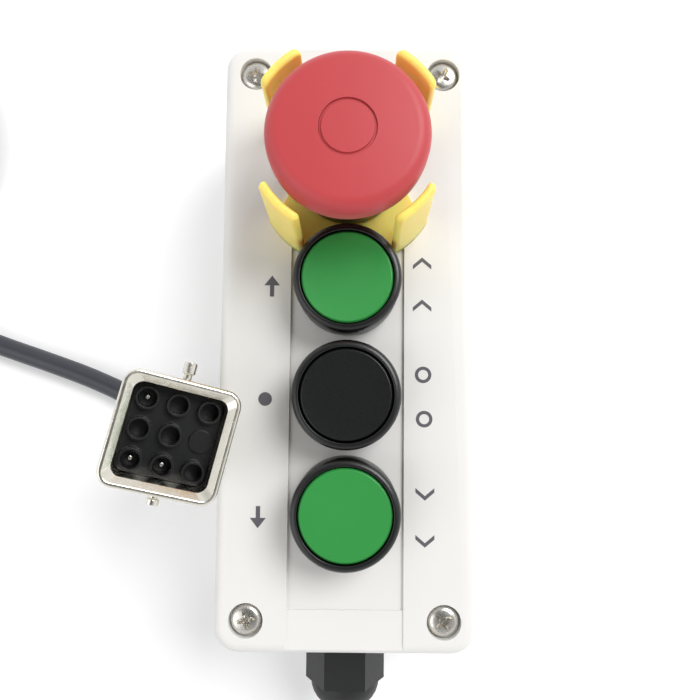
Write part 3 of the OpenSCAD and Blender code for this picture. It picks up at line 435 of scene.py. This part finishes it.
def smooth_line(points: Sequence[Vector], steps: int) -> list[Vector]:
    """Draws a smooth line through points.

    Args:
        points: The points.
        steps: Number of steps from one point to the next.

    Returns:
        The points of the line, the given ones among them.
    """
    ends = [2 * points[0] - points[1], *points, 2 * points[-1] - points[-2]]
    line = []
    for a, b, c, d in zip(ends, ends[1:], ends[2:], ends[3:]):
        for i in range(steps):
            # A cubic from b to c, with the slopes that the points around them give
            t = i / steps
            line.append(0.5 * ((2 * b) + (c - a) * t + (2 * a - 5 * b + 4 * c - d) * t * t
                               + (3 * b - a - 3 * c + d) * t ** 3))
    return line + [points[-1]]


# Sub-assemblies


@dataclass
class Housing:
    """The base, the lid and its screws."""

    edge: float = 0.3
    screw_pitch: tuple[float, float] = (54.0, 154.0)
    screw_turns: Sequence[float] = (12, 37, -8, 55)
    screw_head_z: float = 53.0
    screw_head_d: float = 8.4
    screw_head_h: float = 2.6
    screw_head_edge: Profile = ((0.0, 1.1), (0.2, 0.7), (0.6, 0.35), (1.2, 0.12))
    screw_end_z: float = 29.0
    screw_d: float = 4.0
    recess_l: float = 4.8
    recess_w: float = 1.3
    recess_depth: float = 1.9
    recess_taper: float = 0.42
    arm_tip: float = 0.7
    arm_root: float = 1.25

    def build(self) -> None:
        """Builds the shells and the screws."""
        piece(copied("base_housing"), "base_shell", Slot.HOUSING, Body.HOUSING, ["base_housing"],
              self.edge)
        piece(copied("lid"), "lid_shell", Slot.HOUSING, Body.HOUSING, ["lid"], self.edge)
        self.build_screws()

    def build_screws(self) -> None:
        """Builds the four screws, each stopped at a turn of its own."""
        places = [(x, y) for y in (-1, 1) for x in (-1, 1)]
        shapes = []
        for (x, y), turn in zip(places, self.screw_turns):
            middle = Vector((x * self.screw_pitch[0] / 2, y * self.screw_pitch[1] / 2, 0)) * MM
            shapes.append(moved(self.screw(), Matrix.Translation(middle)
                                @ Matrix.Rotation(math.radians(turn), 4, "Z")))
        piece(joined(shapes), "lid_screw_set", Slot.STEEL, Body.HOUSING, ["lid_screws"],
              crease=30.0)

    def screw(self) -> bmesh.types.BMesh:
        """Makes a screw with a tapered cross recess.

        Returns:
            The screw, standing on the frame's Z axis.
        """
        head_r = self.screw_head_d / 2
        top_z = self.screw_head_z + self.screw_head_h
        shape = turned([
            (0, self.screw_end_z), (self.screw_d / 2, self.screw_end_z),
            (self.screw_d / 2, self.screw_head_z), (head_r, self.screw_head_z),
            *edge_points(head_r, top_z, self.screw_head_edge)], steps=48)
        rim = [e for e in shape.edges if e.is_boundary]
        arm, side = self.recess_l / 2, self.recess_w / 2
        tip, root = side * self.arm_tip, side * self.arm_root
        corner = [(arm, tip), (root, root), (tip, arm)]
        cross = []
        for quarter in range(4):
            turn = Matrix.Rotation(math.radians(90 * quarter), 2)
            cross += [turn @ Vector(point) for point in corner]
        upper = [shape.verts.new(Vector((*point, top_z)) * MM) for point in cross]
        floor_z = top_z - self.recess_depth
        lower = [shape.verts.new(Vector((*(point * self.recess_taper), floor_z)) * MM)
                 for point in cross]
        loop = [shape.edges.new(pair) for pair in zip(upper, upper[1:] + upper[:1])]
        for i, vertex in enumerate(upper):
            k = (i + 1) % len(upper)
            shape.faces.new((vertex, upper[k], lower[k], lower[i]))
        shape.faces.new(lower)
        bmesh.ops.triangle_fill(shape, edges=rim + loop, use_beauty=True, use_dissolve=False)
        bmesh.ops.recalc_face_normals(shape, faces=shape.faces)
        return shape


class Mark(Enum):
    """The marks' kinds, with the turn in degrees of those that point somewhere."""

    UP = 0.0
    DOWN = 180.0
    ROUND = None


@dataclass
class Marks:
    """Plain marks printed on the lid beside the buttons: an arrow or a dot on the left, and pairs
    of chevrons or rings on the right."""

    surface_z: float = 56.0
    ink: float = 0.04
    arrow: Profile = (
        (-0.6, -3), (0.6, -3), (0.6, 0.2), (2.2, 0.2), (0, 3), (-2.2, 0.2), (-0.6, 0.2))
    chevron: Profile = (
        (-2.6, -1.6), (-2.6, -0.4), (0, 1.8), (2.6, -0.4), (2.6, -1.6), (0, 0.6))
    dot_r: float = 1.9
    ring_r: float = 2.3
    ring_hole_r: float = 1.4
    left: Sequence[tuple[float, float, Mark]] = (
        (-21.3, 15.0, Mark.UP), (-22.7, -16.8, Mark.ROUND), (-24.1, -49.2, Mark.DOWN))
    right: Sequence[tuple[float, float, Mark]] = (
        (21.0, 21.7, Mark.UP), (21.0, 9.7, Mark.UP), (21.3, -9.7, Mark.ROUND),
        (21.6, -22.0, Mark.ROUND), (21.8, -42.5, Mark.DOWN), (21.8, -55.2, Mark.DOWN))

    def flat(self, outline: Profile, x: float, y: float, turn: float) -> bmesh.types.BMesh:
        """Makes a thin plate from an outline.

        Args:
            outline: The corners, in order.
            x: Its place across the lid.
            y: Its place along the lid.
            turn: Its turn about Z, in degrees.

        Returns:
            The plate, just proud of the lid.
        """
        shape = bmesh.new()
        face = shape.faces.new([shape.verts.new((u * MM, v * MM, 0)) for u, v in outline])
        raised = bmesh.ops.extrude_face_region(shape, geom=[face])
        tops = [v for v in raised["geom"] if isinstance(v, bmesh.types.BMVert)]
        bmesh.ops.translate(shape, verts=tops, vec=(0, 0, self.ink * MM))
        bmesh.ops.recalc_face_normals(shape, faces=shape.faces)
        return moved(shape, Matrix.Translation(Vector((x, y, self.surface_z)) * MM)
                     @ Matrix.Rotation(math.radians(turn), 4, "Z"))

    def disc(self, x: float, y: float, outer: float, inner: float) -> bmesh.types.BMesh:
        """Makes a dot or a ring.

        Args:
            x: Its place across the lid.
            y: Its place along the lid.
            outer: Its radius.
            inner: Radius of its hole, or 0 for a dot.

        Returns:
            The mark, just proud of the lid.
        """
        profile = ((inner, 0), (outer, 0), (outer, self.ink), (inner, self.ink))
        return moved(turned(profile, closed=inner > 0, steps=48),
                     Matrix.Translation(Vector((x, y, self.surface_z)) * MM))

    def build(self) -> None:
        """Prints all the marks as one piece."""
        shapes = []
        for x, y, mark in self.left:
            shapes.append(self.disc(x, y, self.dot_r, 0) if mark is Mark.ROUND
                          else self.flat(self.arrow, x, y, mark.value))
        for x, y, mark in self.right:
            shapes.append(self.disc(x, y, self.ring_r, self.ring_hole_r) if mark is Mark.ROUND
                          else self.flat(self.chevron, x, y, mark.value))
        piece(joined(shapes), "lid_marks", Slot.HOUSING, Body.HOUSING, finish=INK)


@dataclass
class PushButton:
    """A push button's bezel with its barrel, and its cap with its stem."""

    name: str
    body: Body
    station: int
    colour: Slot
    middle_station: float = 1.5
    pitch: float = 31.0
    panel_z: float = 56.0
    top_z: float = 69.0
    barrel_z: float = 34.0
    shelf_z: float = 44.0
    shelf_t: float = 2.0
    outer_r: float = 14.4
    rim: float = 1.9
    bezel_edge: Profile = ((0.0, 1.1), (0.35, 0.4), (1.0, 0.0))
    well_edge: tuple[float, float] = (0.15, 0.2)
    barrel_r: float = 10.9
    bore_r: float = 9.6
    stem_r: float = 6.0
    stem_z: float = 36.0
    gap: float = 0.3
    cap_top_z: float = 68.6
    cap_t: float = 4.0
    cap_edge: Profile = ((0.0, 0.5), (0.5, 0.0), (1.6, 0.08))
    dish: Profile = ((0.5, 0.22), (0.0, 0.25))
    travel: float = 4.0

    def place(self) -> Matrix:
        """Returns the button's place along the box."""
        return Matrix.Translation((0, (self.station - self.middle_station) * self.pitch * MM, 0))

    def build(self) -> None:
        """Builds the bezel and the cap."""
        well_r = self.outer_r - self.rim
        recess_z = self.cap_top_z - self.cap_t - self.travel - self.gap
        bezel = turned([
            (self.stem_r + self.gap, self.shelf_z - self.shelf_t),
            (self.bore_r, self.shelf_z - self.shelf_t), (self.bore_r, self.barrel_z),
            (self.barrel_r, self.barrel_z), (self.barrel_r, self.panel_z),
            (self.outer_r, self.panel_z), *edge_points(self.outer_r, self.top_z, self.bezel_edge),
            (well_r + self.well_edge[0], self.top_z), (well_r, self.top_z - self.well_edge[1]),
            (well_r, recess_z), (self.bore_r, recess_z), (self.bore_r, self.shelf_z),
            (self.stem_r + self.gap, self.shelf_z)], closed=True)
        piece(moved(bezel, self.place()), f"{self.name}_bezel_ring", Slot.BLACK, Body.HOUSING,
              [f"{self.name}_bezel"], rounding=0.12, segments=2)
        cap_r = well_r - self.gap
        cap = turned([
            (0, self.stem_z), (self.stem_r, self.stem_z),
            (self.stem_r, self.cap_top_z - self.cap_t), (cap_r, self.cap_top_z - self.cap_t),
            *edge_points(cap_r, self.cap_top_z, self.cap_edge),
            *((cap_r * share, self.cap_top_z - down) for share, down in self.dish)])
        piece(moved(cap, self.place()), f"{self.name}_cap_disc", self.colour, self.body,
              [f"{self.name}_cap"], rounding=0.15, segments=2)


@dataclass
class ReturnSpring:
    """A button's return spring, copied at its CAD length."""

    name: str
    travel: float
    spare: float = 0.1

    def build(self) -> None:
        """Builds the spring on the shelf that it stands on."""
        spring = copied(f"{self.name}_return_spring")
        low = min((v.co for v in spring.verts), key=lambda co: co.z).copy()
        coil = piece(spring, f"{self.name}_spring_coil", Slot.STEEL, Body.HOUSING,
                     [f"{self.name}_return_spring"], crease=70.0)
        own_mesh(coil)


@dataclass
class StopButton:
    """The mushroom stop button: collar, head with its disc, and the clawed guard."""

    centre_y: float = 46.5
    head_r: float = 20.0
    rim_z: float = 87.0
    top_z: float = 91.4
    edge_r: float = 3.8
    under_z: float = 81.0
    neck_r: float = 12.0
    neck_z: float = 67.7
    post_r: float = 6.55
    post_top_z: float = 87.0
    disc_r: float = 6.65
    groove: float = 0.3
    groove_depth: float = 0.6
    disc_floor_z: float = 90.2
    groove_taper: float = 0.02
    disc_gap: float = 0.03
    disc_lip: float = 0.1
    under_share: float = 0.9
    under_arc: Sequence[int] = range(-60, 1, 10)
    upper_arc: Sequence[int] = range(0, 90, 6)
    travel: float = 5.5

    def place(self) -> Matrix:
        """Returns the button's place along the box."""
        return Matrix.Translation((0, self.centre_y * MM, 0))

    def dome(self, start_r: float, end_r: float, steps: int) -> list[tuple[float, float]]:
        """Lays out a stretch of the head's shallow dome.

        Args:
            start_r: The radius where it starts.
            end_r: The radius where it ends.
            steps: Number of steps between them.

        Returns:
            Radius and height of each point.
        """
        flat_r = self.head_r - self.edge_r
        rise = self.top_z - self.rim_z - self.edge_r
        ball = (flat_r * flat_r + rise * rise) / (2 * rise)
        radii = [start_r + (end_r - start_r) * i / steps for i in range(steps + 1)]
        return [(r, self.top_z - ball + math.sqrt(ball * ball - r * r)) for r in radii]

    def build(self) -> None:
        """Builds the head, its disc, the collar and the guard."""
        under_r = self.edge_r * self.under_share
        lower = [(self.head_r - under_r + under_r * math.cos(math.radians(a)),
                  self.under_z + under_r + under_r * math.sin(math.radians(a)))
                 for a in self.under_arc]
        upper = [(self.head_r - self.edge_r + self.edge_r * math.cos(math.radians(a)),
                  self.rim_z + self.edge_r * math.sin(math.radians(a))) for a in self.upper_arc]
        groove_r = self.disc_r + self.groove
        top = self.dome(self.head_r - self.edge_r, groove_r, steps=8)
        head = turned([
            (self.post_r, self.neck_z), (self.neck_r, self.neck_z), (self.neck_r, self.under_z),
            (self.head_r - under_r, self.under_z), *lower, *upper, *top,
            (groove_r - self.groove_taper, self.disc_floor_z), (0, self.disc_floor_z),
            (0, self.post_top_z), (self.post_r, self.post_top_z)], closed=True, steps=128)
        piece(moved(head, self.place()), "stop_mushroom", Slot.RED, Body.HEAD, ["stop_head"],
              rounding=0.12, segments=2, crease=40.0)
        outer_r, lip_r = groove_r - self.disc_gap, self.disc_r - self.groove
        groove_z = self.top_z - self.groove_depth
        disc = turned([(0, self.disc_floor_z), (outer_r, self.disc_floor_z), (outer_r, groove_z),
                       (lip_r, groove_z), *self.dome(lip_r - self.disc_lip, 0, steps=5)])
        piece(moved(disc, self.place()), "stop_mushroom_disc", Slot.RED, Body.HEAD,
              ["stop_head_disc"], rounding=0.15)
        piece(copied("stop_body"), "stop_collar", Slot.BLACK, Body.HOUSING, ["stop_body"],
              rounding=0.2)
        Guard(self.place()).build()


@dataclass
class Guard:
    """The yellow guard: the CAD model's plate, and four claws with round edges."""

    place: Matrix
    foot_z: float = 56.5
    plate_z: float = 58.0
    base_z: float = 56.0
    height: float = 31.5
    foot_r: float = 25.9
    top_r: float = 24.9
    thick: float = 2.2
    width: float = 12.6
    corner: float = 2.0
    edge: float = 0.9
    thinnest: float = 0.08
    turns: Sequence[float] = (45, 135, 225, 315)
    rows: int = 6
    corner_steps: int = 8
    middle_steps: int = 4
    over_steps: int = 10
    cut: float = 0.01

    def columns(self) -> list[float]:
        """Lays out the sections of a claw, close together at its round edges.

        Returns:
            The place of each across the claw.
        """
        half, parts = self.width / 2, self.middle_steps
        arc = [math.radians(90 * i / self.corner_steps) for i in range(self.corner_steps + 1)]
        left = [-half + self.corner * (1 - math.cos(a)) for a in arc]
        middle = [(half - self.corner) * k / parts for k in range(1 - parts, parts)]
        return left + middle + [-y for y in reversed(left)]

    def section(self, y: float) -> list[tuple[float, float]]:
        """Lays out a claw's section.

        Args:
            y: Its place across the claw.

        Returns:
            Radius and height of each of its points.
        """
        past = max(abs(y) - self.width / 2 + self.corner, 0)
        top = self.height - self.corner + math.sqrt(max(self.corner ** 2 - past ** 2, 0))
        near_edge = max(abs(y) - self.width / 2 + self.edge, 0) / self.edge
        half = self.thick / 2 * max(math.sqrt(max(1 - near_edge ** 2, 0)), self.thinnest)
        low = self.foot_z - self.base_z
        shoulder = top - self.edge
        flank = [low + (shoulder - low) * i / self.rows for i in range(self.rows)]
        over = [(half * math.cos(a), shoulder + self.edge * math.sin(a))
                for a in (math.radians(180 * i / self.over_steps)
                          for i in range(self.over_steps + 1))]
        offsets = [(half, z) for z in flank] + over + [(-half, z) for z in reversed(flank)]
        lean = (self.top_r - self.foot_r) / self.height
        return [(self.foot_r - self.thick / 2 + lean * z + offset, z) for offset, z in offsets]

    def claw(self, turn: float) -> bmesh.types.BMesh:
        """Makes one claw.

        Args:
            turn: Its turn about the button, in degrees.

        Returns:
            The claw as a closed mesh.
        """
        shape = bmesh.new()
        rings = []
        for y in self.columns():
            places = [Vector((math.sqrt(r * r - y * y), y, self.base_z + z))
                      for r, z in self.section(y)]
            rings.append([shape.verts.new(place * MM) for place in places])
        for one, other in zip(rings, rings[1:]):
            for i in range(len(one)):
                k = (i + 1) % len(one)
                shape.faces.new((one[i], one[k], other[k], other[i]))
        shape.faces.new(rings[0])
        shape.faces.new(rings[-1])
        bmesh.ops.recalc_face_normals(shape, faces=shape.faces)
        return moved(shape, self.place @ Matrix.Rotation(math.radians(turn), 4, "Z"))

    def plate(self) -> bmesh.types.BMesh:
        """Cuts the plate off the CAD model's guard.

        Returns:
            The plate as a closed mesh.
        """
        shape = copied("stop_guard")
        bmesh.ops.bisect_plane(shape, geom=shape.verts[:] + shape.edges[:] + shape.faces[:],
                               dist=SAME_POINT, plane_co=(0, 0, (self.plate_z + self.cut) * MM),
                               plane_no=(0, 0, 1), clear_outer=True)
        bmesh.ops.holes_fill(shape, edges=[e for e in shape.edges if e.is_boundary])
        bmesh.ops.recalc_face_normals(shape, faces=shape.faces)
        return shape

    def build(self) -> None:
        """Builds the plate and the claws as one moulding."""
        claws = [self.claw(turn) for turn in self.turns]
        piece(joined([self.plate(), *claws]), "stop_guard_claws", Slot.YELLOW, Body.HOUSING,
              ["stop_guard"], crease=50.0)


@dataclass
class Gland:
    """The cable gland: its body and its dome nut."""

    edge: float = 0.4

    def build(self) -> None:
        """Refines the gland's two outer pieces."""
        piece(copied("gland_body"), "gland_hexagon", Slot.GLAND, Body.HOUSING, ["gland_body"],
              self.edge)
        piece(copied("gland_dome_nut"), "gland_dome", Slot.GLAND, Body.HOUSING, ["gland_dome_nut"],
              self.edge)


@dataclass
class Plug:
    """The square plug that leans on the box's left edge.

    Its own Z axis comes out of its mouth, and cable_end is how far below the mouth the cable ends.
    """

    place: Point = (-42.0, -26.4, 80.0)
    azimuth: float = -8.4
    tilt: float = 17.2
    spin: float = -5.9
    cable_end: float = 41.2
    sleeve_pitch: float = 7.8
    blank: tuple[int, int] = (1, 0)
    bore_d: float = 4.6
    floor_z: float = -12.8
    floor_t: float = 0.3
    floor_lap: float = 0.05

    def matrix(self) -> Matrix:
        """Returns the plug's place and turn."""
        return (Matrix.Translation(Vector(self.place) * MM)
                @ Matrix.Rotation(math.radians(self.azimuth), 4, "Z")
                @ Matrix.Rotation(math.radians(self.tilt), 4, "Y")
                @ Matrix.Rotation(math.radians(self.spin), 4, "Z"))

    def sleeves(self) -> bmesh.types.BMesh:
        """Takes the CAD model's insert and closes its bores below the face plate.

        Returns:
            The insert with a black floor in each bore.
        """
        shapes = [copied("plug_insert")]
        bores = [(x, y) for x in (-1, 0, 1) for y in (-1, 0, 1) if (x, y) != self.blank]
        radius = self.bore_d / 2 + self.floor_lap
        for x, y in bores:
            floor = turned(((0, 0), (radius, 0), (radius, self.floor_t), (0, self.floor_t)),
                           steps=32)
            place = Vector((x * self.sleeve_pitch, y * self.sleeve_pitch, self.floor_z))
            shapes.append(moved(floor, self.matrix() @ Matrix.Translation(place * MM)))
        return joined(shapes)

    def build(self) -> list[bpy.types.Object]:
        """Builds the plug.

        Returns:
            The pieces on the cord.
        """
        return [
            piece(copied("plug_hood"), "plug_shell", Slot.ZINC, Body.HOUSING, ["plug_hood"],
                  rounding=0.35, crease=25.0),
            piece(self.sleeves(), "plug_sleeves", Slot.BLACK, Body.HOUSING, ["plug_insert"],
                  rounding=0.2),
            piece(copied("plug_contacts"), "plug_pins", Slot.STEEL, Body.HOUSING,
                  ["plug_contacts"], rounding=0.5),
            piece(copied("plug_locking_pegs"), "plug_pegs", Slot.ZINC, Body.HOUSING,
                  ["plug_locking_pegs"], rounding=0.3),
            piece(copied("plug_gland_nut"), "plug_cable_nut", Slot.ZINC, Body.HOUSING,
                  ["plug_gland_nut"], rounding=0.3),
        ]


@dataclass
class Lead:
    """The lead: from the gland along the table, round the coil and up into the plug."""

    plug: Plug
    diameter: float = 7.0
    start: Sequence[Point] = (
        (0, -112, 25), (0, -119, 25), (-2.5, -131, 24), (-9.5, -141.5, 21.3), (-20, -148.5, 17),
        (-32.5, -150.5, 12), (-50, -150.5, 6.3), (-68, -150.5, 3.6), (-87, -150.5, 3.5),
        (-106, -150.5, 3.5), (-125, -150.5, 3.5), (-141.5, -147, 3.5), (-155.5, -138, 3.5),
        (-164.5, -124, 3.5), (-168, -107.5, 3.5), (-168, -88, 3.5), (-168, -69, 3.5),
        (-168, -50, 3.5), (-168, -31, 3.5), (-168, -12, 3.5), (-168, 5.5, 3.5), (-164, 22.5, 3.8))
    end: Sequence[Point] = (
        (-172, 24, 11.7), (-161, 18.6, 11.5), (-151.5, 14, 10.2), (-143, 9.8, 7.5),
        (-134.5, 5.2, 4.7), (-125, 1.4, 3.5), (-114, -2.3, 3.5), (-104, -5.7, 3.5),
        (-94, -9.3, 3.5))
    coil_centre: tuple[float, float] = (-176.2, 74.5)
    coil_start: float = 310.0
    coil_turns: float = 3.8167
    coil_inner_r: float = 29.0
    coil_pitch: float = 7.6
    coil_layer: float = 7.5
    coil_low_z: float = 4.15
    coil_steps: int = 48
    climb_turns: float = 0.5
    line_steps: int = 4
    run_azimuth: float = -27.0
    bend_r: float = 28.0
    bend_steps: int = 12
    tie_angle: float = 90.0
    tie_t: float = 0.6
    tie_w: float = 9.0
    tie_gap: float = 0.1
    tie_lift: float = 0.05
    tie_corner: float = 2.4

    def coil_radius(self, turn: float) -> float:
        """Returns the coil's radius at a place that counts in turns."""
        return self.coil_inner_r + self.coil_pitch * abs(turn - self.coil_turns / 2)

    def coil_point(self, turn: float) -> Vector:
        """Finds a place on the coil, which goes in, up a layer and out again.

        Args:
            turn: How far along the coil it is, in turns.

        Returns:
            The place.
        """
        angle = math.radians(self.coil_start + 360 * turn)
        climbed = min(max(turn - self.coil_turns / 2 + self.climb_turns / 2, 0), self.climb_turns)
        rise = (1 - math.cos(math.pi * climbed / self.climb_turns)) / 2
        radius = self.coil_radius(turn)
        return Vector((self.coil_centre[0] + radius * math.cos(angle),
                       self.coil_centre[1] + radius * math.sin(angle),
                       self.coil_low_z + self.coil_layer * rise))

    def coil(self) -> list[Vector]:
        """Lays out the coil, with two straight diameters of cable at each end.

        Returns:
            The points of its centre line.
        """
        count = self.coil_steps * math.ceil(self.coil_turns)
        # A tenth of a step on from an end shows which way the coil runs there
        step = self.coil_turns / count / 10
        points = [self.coil_point(self.coil_turns * i / count) for i in range(count + 1)]
        into = (self.coil_point(step) - points[0]).normalized() * self.diameter
        out = (self.coil_point(self.coil_turns + step) - points[-1]).normalized() * self.diameter
        return [points[0] - 2 * into, points[0] - into, *points, points[-1] + out,
                points[-1] + 2 * out]

    def plug_bend(self) -> list[Vector]:
        """Lays out the bend from the table up along the plug's axis, into its nut.

        Returns:
            The points of its centre line.
        """
        axis = self.plug.matrix().to_3x3() @ Vector((0, 0, 1))
        way = math.radians(self.run_azimuth)
        run = Vector((math.cos(way), math.sin(way), 0))
        rise = (axis - axis.dot(run) * run).normalized()
        angle = axis.angle(run)
        place = Vector(self.plug.place)
        bend = [self.bend_r * (math.sin(a) * run + (1 - math.cos(a)) * rise)
                for a in (angle * i / self.bend_steps for i in range(self.bend_steps + 1))]
        straight = (place.z - self.diameter / 2 - bend[-1].z) / axis.z
        foot = place - straight * axis - bend[-1]
        return [foot + point for point in bend] + [place - self.plug.cable_end * axis]

    def route(self) -> list[Vector]:
        """Joins the start, the coil, the end and the bend into one line.

        Returns:
            The points of the whole lead's centre line, in metres.
        """
        coil, bend = self.coil(), self.plug_bend()
        start = smooth_line([Vector(p) for p in self.start] + coil[:2], self.line_steps)
        end = smooth_line(coil[-2:] + [Vector(p) for p in self.end] + bend[:1], self.line_steps)
        line = start[:-1] + coil[1:-1] + end[1:] + bend[1:]
        return [p * MM for p in line]

    def build(self, with_pieces: Sequence[bpy.types.Object | str]) -> None:
        """Args:
            with_pieces: The separate pieces on it; not used.
        """
        line = self.route()
        curve = bpy.data.curves.new("lead_cable", "CURVE")
        curve.dimensions = "3D"
        curve.bevel_depth = self.diameter / 2 * MM
        curve.bevel_resolution = 6
        curve.use_fill_caps = True
        spline = curve.splines.new("POLY")
        spline.points.add(len(line) - 1)
        for point, place in zip(spline.points, line):
            point.co = (*place, 1.0)
        spline.use_smooth = True
        cable = bpy.data.objects.new("lead_cable", curve)
        bpy.context.scene.collection.objects.link(cable)
        dressed(cable, Slot.CABLE, Body.HOUSING, ["cord_lead", "cord_coil", "cord_tail"])
        self.tie()

    def tie(self) -> bpy.types.Object:
        """Builds the strap around the coil as a rounded loop with thickness.

        Returns:
            The strap.
        """
        turns = [turn + ((self.tie_angle - self.coil_start) % 360) / 360 for turn in range(4)]
        radii = [self.coil_radius(turn) for turn in turns if turn < self.coil_turns]
        # How far the turns bow across the strap's width
        bow = self.tie_w ** 2 / 8 / self.coil_inner_r
        near = min(radii) - self.diameter / 2 - bow - self.tie_gap
        far = max(radii) + self.diameter / 2 + bow + self.tie_gap
        top = self.coil_low_z + self.coil_layer + self.diameter / 2 + self.tie_lift + self.tie_t
        strap = bmesh.new()
        size = Vector((far - near + 2 * self.tie_t, self.tie_w, top))
        centre = Vector(((near + far) / 2, 0, top / 2))
        bmesh.ops.create_cube(strap, size=1.0, matrix=Matrix.Translation(centre * MM)
                              @ Matrix.Diagonal((*(size * MM), 1)))
        sides = [f for f in strap.faces if abs(f.normal.y) > 0.9]
        bmesh.ops.delete(strap, geom=sides, context="FACES_ONLY")
        across = [e for e in strap.edges if abs(e.verts[0].co.y - e.verts[1].co.y) > MM]
        bmesh.ops.bevel(strap, geom=across, offset=self.tie_corner * MM, segments=6, profile=0.5,
                        affect="EDGES", material=-1)
        bmesh.ops.recalc_face_normals(strap, faces=strap.faces)
        bmesh.ops.solidify(strap, geom=strap.faces[:], thickness=self.tie_t * MM)
        bmesh.ops.recalc_face_normals(strap, faces=strap.faces)
        place = (Matrix.Translation(Vector((*self.coil_centre, 0)) * MM)
                 @ Matrix.Rotation(math.radians(self.tie_angle), 4, "Z"))
        return piece(moved(strap, place), "coil_strap", Slot.STRAP, Body.HOUSING, ["coil_tie"],
                     rounding=0.15, segments=2)


@dataclass
class Studio:
    """The table, the lamps, the world and the camera, with their places in metres.

    The world's light goes from side_light to top_light between shade_from and straight overhead.
    A lamp has a name, a place, a width and a power, and is turned to the frame's origin.
    """

    camera_place: Point = (0.00158, -0.01655, 0.23755)
    camera_turn: Point = (4.298, 0.198, 0.505)
    lens: float = 33.43
    sensor: float = 36.0
    nearest: float = 0.01
    floor_colour: str = "#f4f4f5"
    floor_drop: float = 0.0003
    floor_glow: float = 0.16
    shade_from: float = 0.55
    side_light: float = 0.9
    top_light: float = 0.06
    table: float = 3.0
    lamps: Sequence[tuple[str, Point, float, float]] = (
        ("key_lamp", (0.9, 0.75, 1.5), 1.1, 26.0),
        ("fill_lamp", (-1.1, -0.5, 1.4), 1.4, 7.0))

    def build(self) -> None:
        """Sets up the studio."""
        scene = bpy.context.scene
        scene.view_settings.view_transform = "Standard"
        self.build_floor()
        self.build_world(scene)
        for name, place, size, power in self.lamps:
            light = bpy.data.lights.new(name, "AREA")
            light.shape = "DISK"
            light.size = size
            light.energy = power
            lamp = bpy.data.objects.new(name, light)
            lamp.location = place
            lamp.rotation_euler = (-Vector(place)).to_track_quat("-Z", "Y").to_euler()
            scene.collection.objects.link(lamp)
        camera = bpy.data.cameras.new("camera")
        camera.lens = self.lens
        camera.sensor_width = self.sensor
        camera.clip_start = self.nearest
        eye = bpy.data.objects.new("camera", camera)
        eye.location = self.camera_place
        eye.rotation_euler = tuple(math.radians(a) for a in self.camera_turn)
        scene.collection.objects.link(eye)
        scene.camera = eye

    def build_floor(self) -> None:
        """Builds the pale table, which looks white to the camera and keeps the shadows."""
        shape = bmesh.new()
        bmesh.ops.create_grid(shape, x_segments=1, y_segments=1, size=self.table)
        bmesh.ops.translate(shape, verts=shape.verts, vec=(0, 0, -self.floor_drop))
        mesh = bpy.data.meshes.new("table")
        shape.to_mesh(mesh)
        shape.free()
        table = bpy.data.objects.new("table", mesh)
        bpy.context.scene.collection.objects.link(table)
        material = bpy.data.materials.new("table_white")
        material.use_nodes = True
        tree = material.node_tree
        tree.nodes.clear()
        path = add_node(tree, "ShaderNodeLightPath")
        seen = add_node(tree, "ShaderNodeMath", {"operation": "MAXIMUM"},
                        {0: path.outputs["Is Camera Ray"], 1: path.outputs["Is Glossy Ray"]})
        glow = add_node(tree, "ShaderNodeMath", {"operation": "MULTIPLY"},
                        {0: seen.outputs[0], 1: self.floor_glow})
        diffuse = add_node(tree, "ShaderNodeBsdfDiffuse", None,
                           {"Color": linear(self.floor_colour)})
        light = add_node(tree, "ShaderNodeEmission", None,
                         {"Color": (1, 1, 1, 1), "Strength": glow.outputs[0]})
        both = add_node(tree, "ShaderNodeAddShader", None, {0: diffuse.outputs[0],
                                                            1: light.outputs[0]})
        add_node(tree, "ShaderNodeOutputMaterial", None, {"Surface": both.outputs[0]})
        table.data.materials.append(material)

    def build_world(self, scene: bpy.types.Scene) -> None:
        """Gives the world a pale light, darker overhead, where whoever holds the camera stands.

        Args:
            scene: The scene.
        """
        world = bpy.data.worlds.new("studio")
        world.use_nodes = True
        tree = world.node_tree
        tree.nodes.clear()
        way = add_node(tree, "ShaderNodeTexCoord").outputs["Generated"]
        rise = add_node(tree, "ShaderNodeSeparateXYZ", None, {"Vector": way}).outputs["Z"]
        strength = add_node(tree, "ShaderNodeMapRange", None,
                            {"Value": rise, "From Min": self.shade_from, "From Max": 1.0,
                             "To Min": self.side_light, "To Max": self.top_light}).outputs[0]
        sky = add_node(tree, "ShaderNodeBackground", None,
                       {"Color": (1, 1, 1, 1), "Strength": strength})
        add_node(tree, "ShaderNodeOutputWorld", None, {"Surface": sky.outputs[0]})
        scene.world = world


def dress_frame() -> None:
    """Gives every CAD node that still shows its slot's finish."""
    for part in frame["record"]["subparts"]:
        node = frame["nodes"][part["node"]]
        node.data.materials.clear()
        node.data.materials.append(SLOT_FINISH[Slot(part["material_slot"])].material())
        LOG.info("%s takes %s", part["node"], part["material_slot"])


def main() -> None:
    """Builds the scene."""
    logging.basicConfig(level=logging.INFO, format="%(message)s")
    dress_frame()
    Studio().build()
    plug = Plug()
    Lead(plug).build([*plug.build(), "gland_seal", "gland_lock_nut", "cable_inner_end"])
    Housing().build()
    Marks().build()
    for name, body, station, colour in (("down", Body.DOWN, 0, Slot.GREEN),
                                        ("common", Body.COMMON, 1, Slot.BLACK),
                                        ("up", Body.UP, 2, Slot.GREEN)):
        button = PushButton(name, body, station, colour)
        button.build()
        ReturnSpring(name, button.travel).build()
    stop = StopButton()
    stop.build()
    ReturnSpring("stop", stop.travel).build()
    Gland().build()


if __name__ == "__main__":
    main()
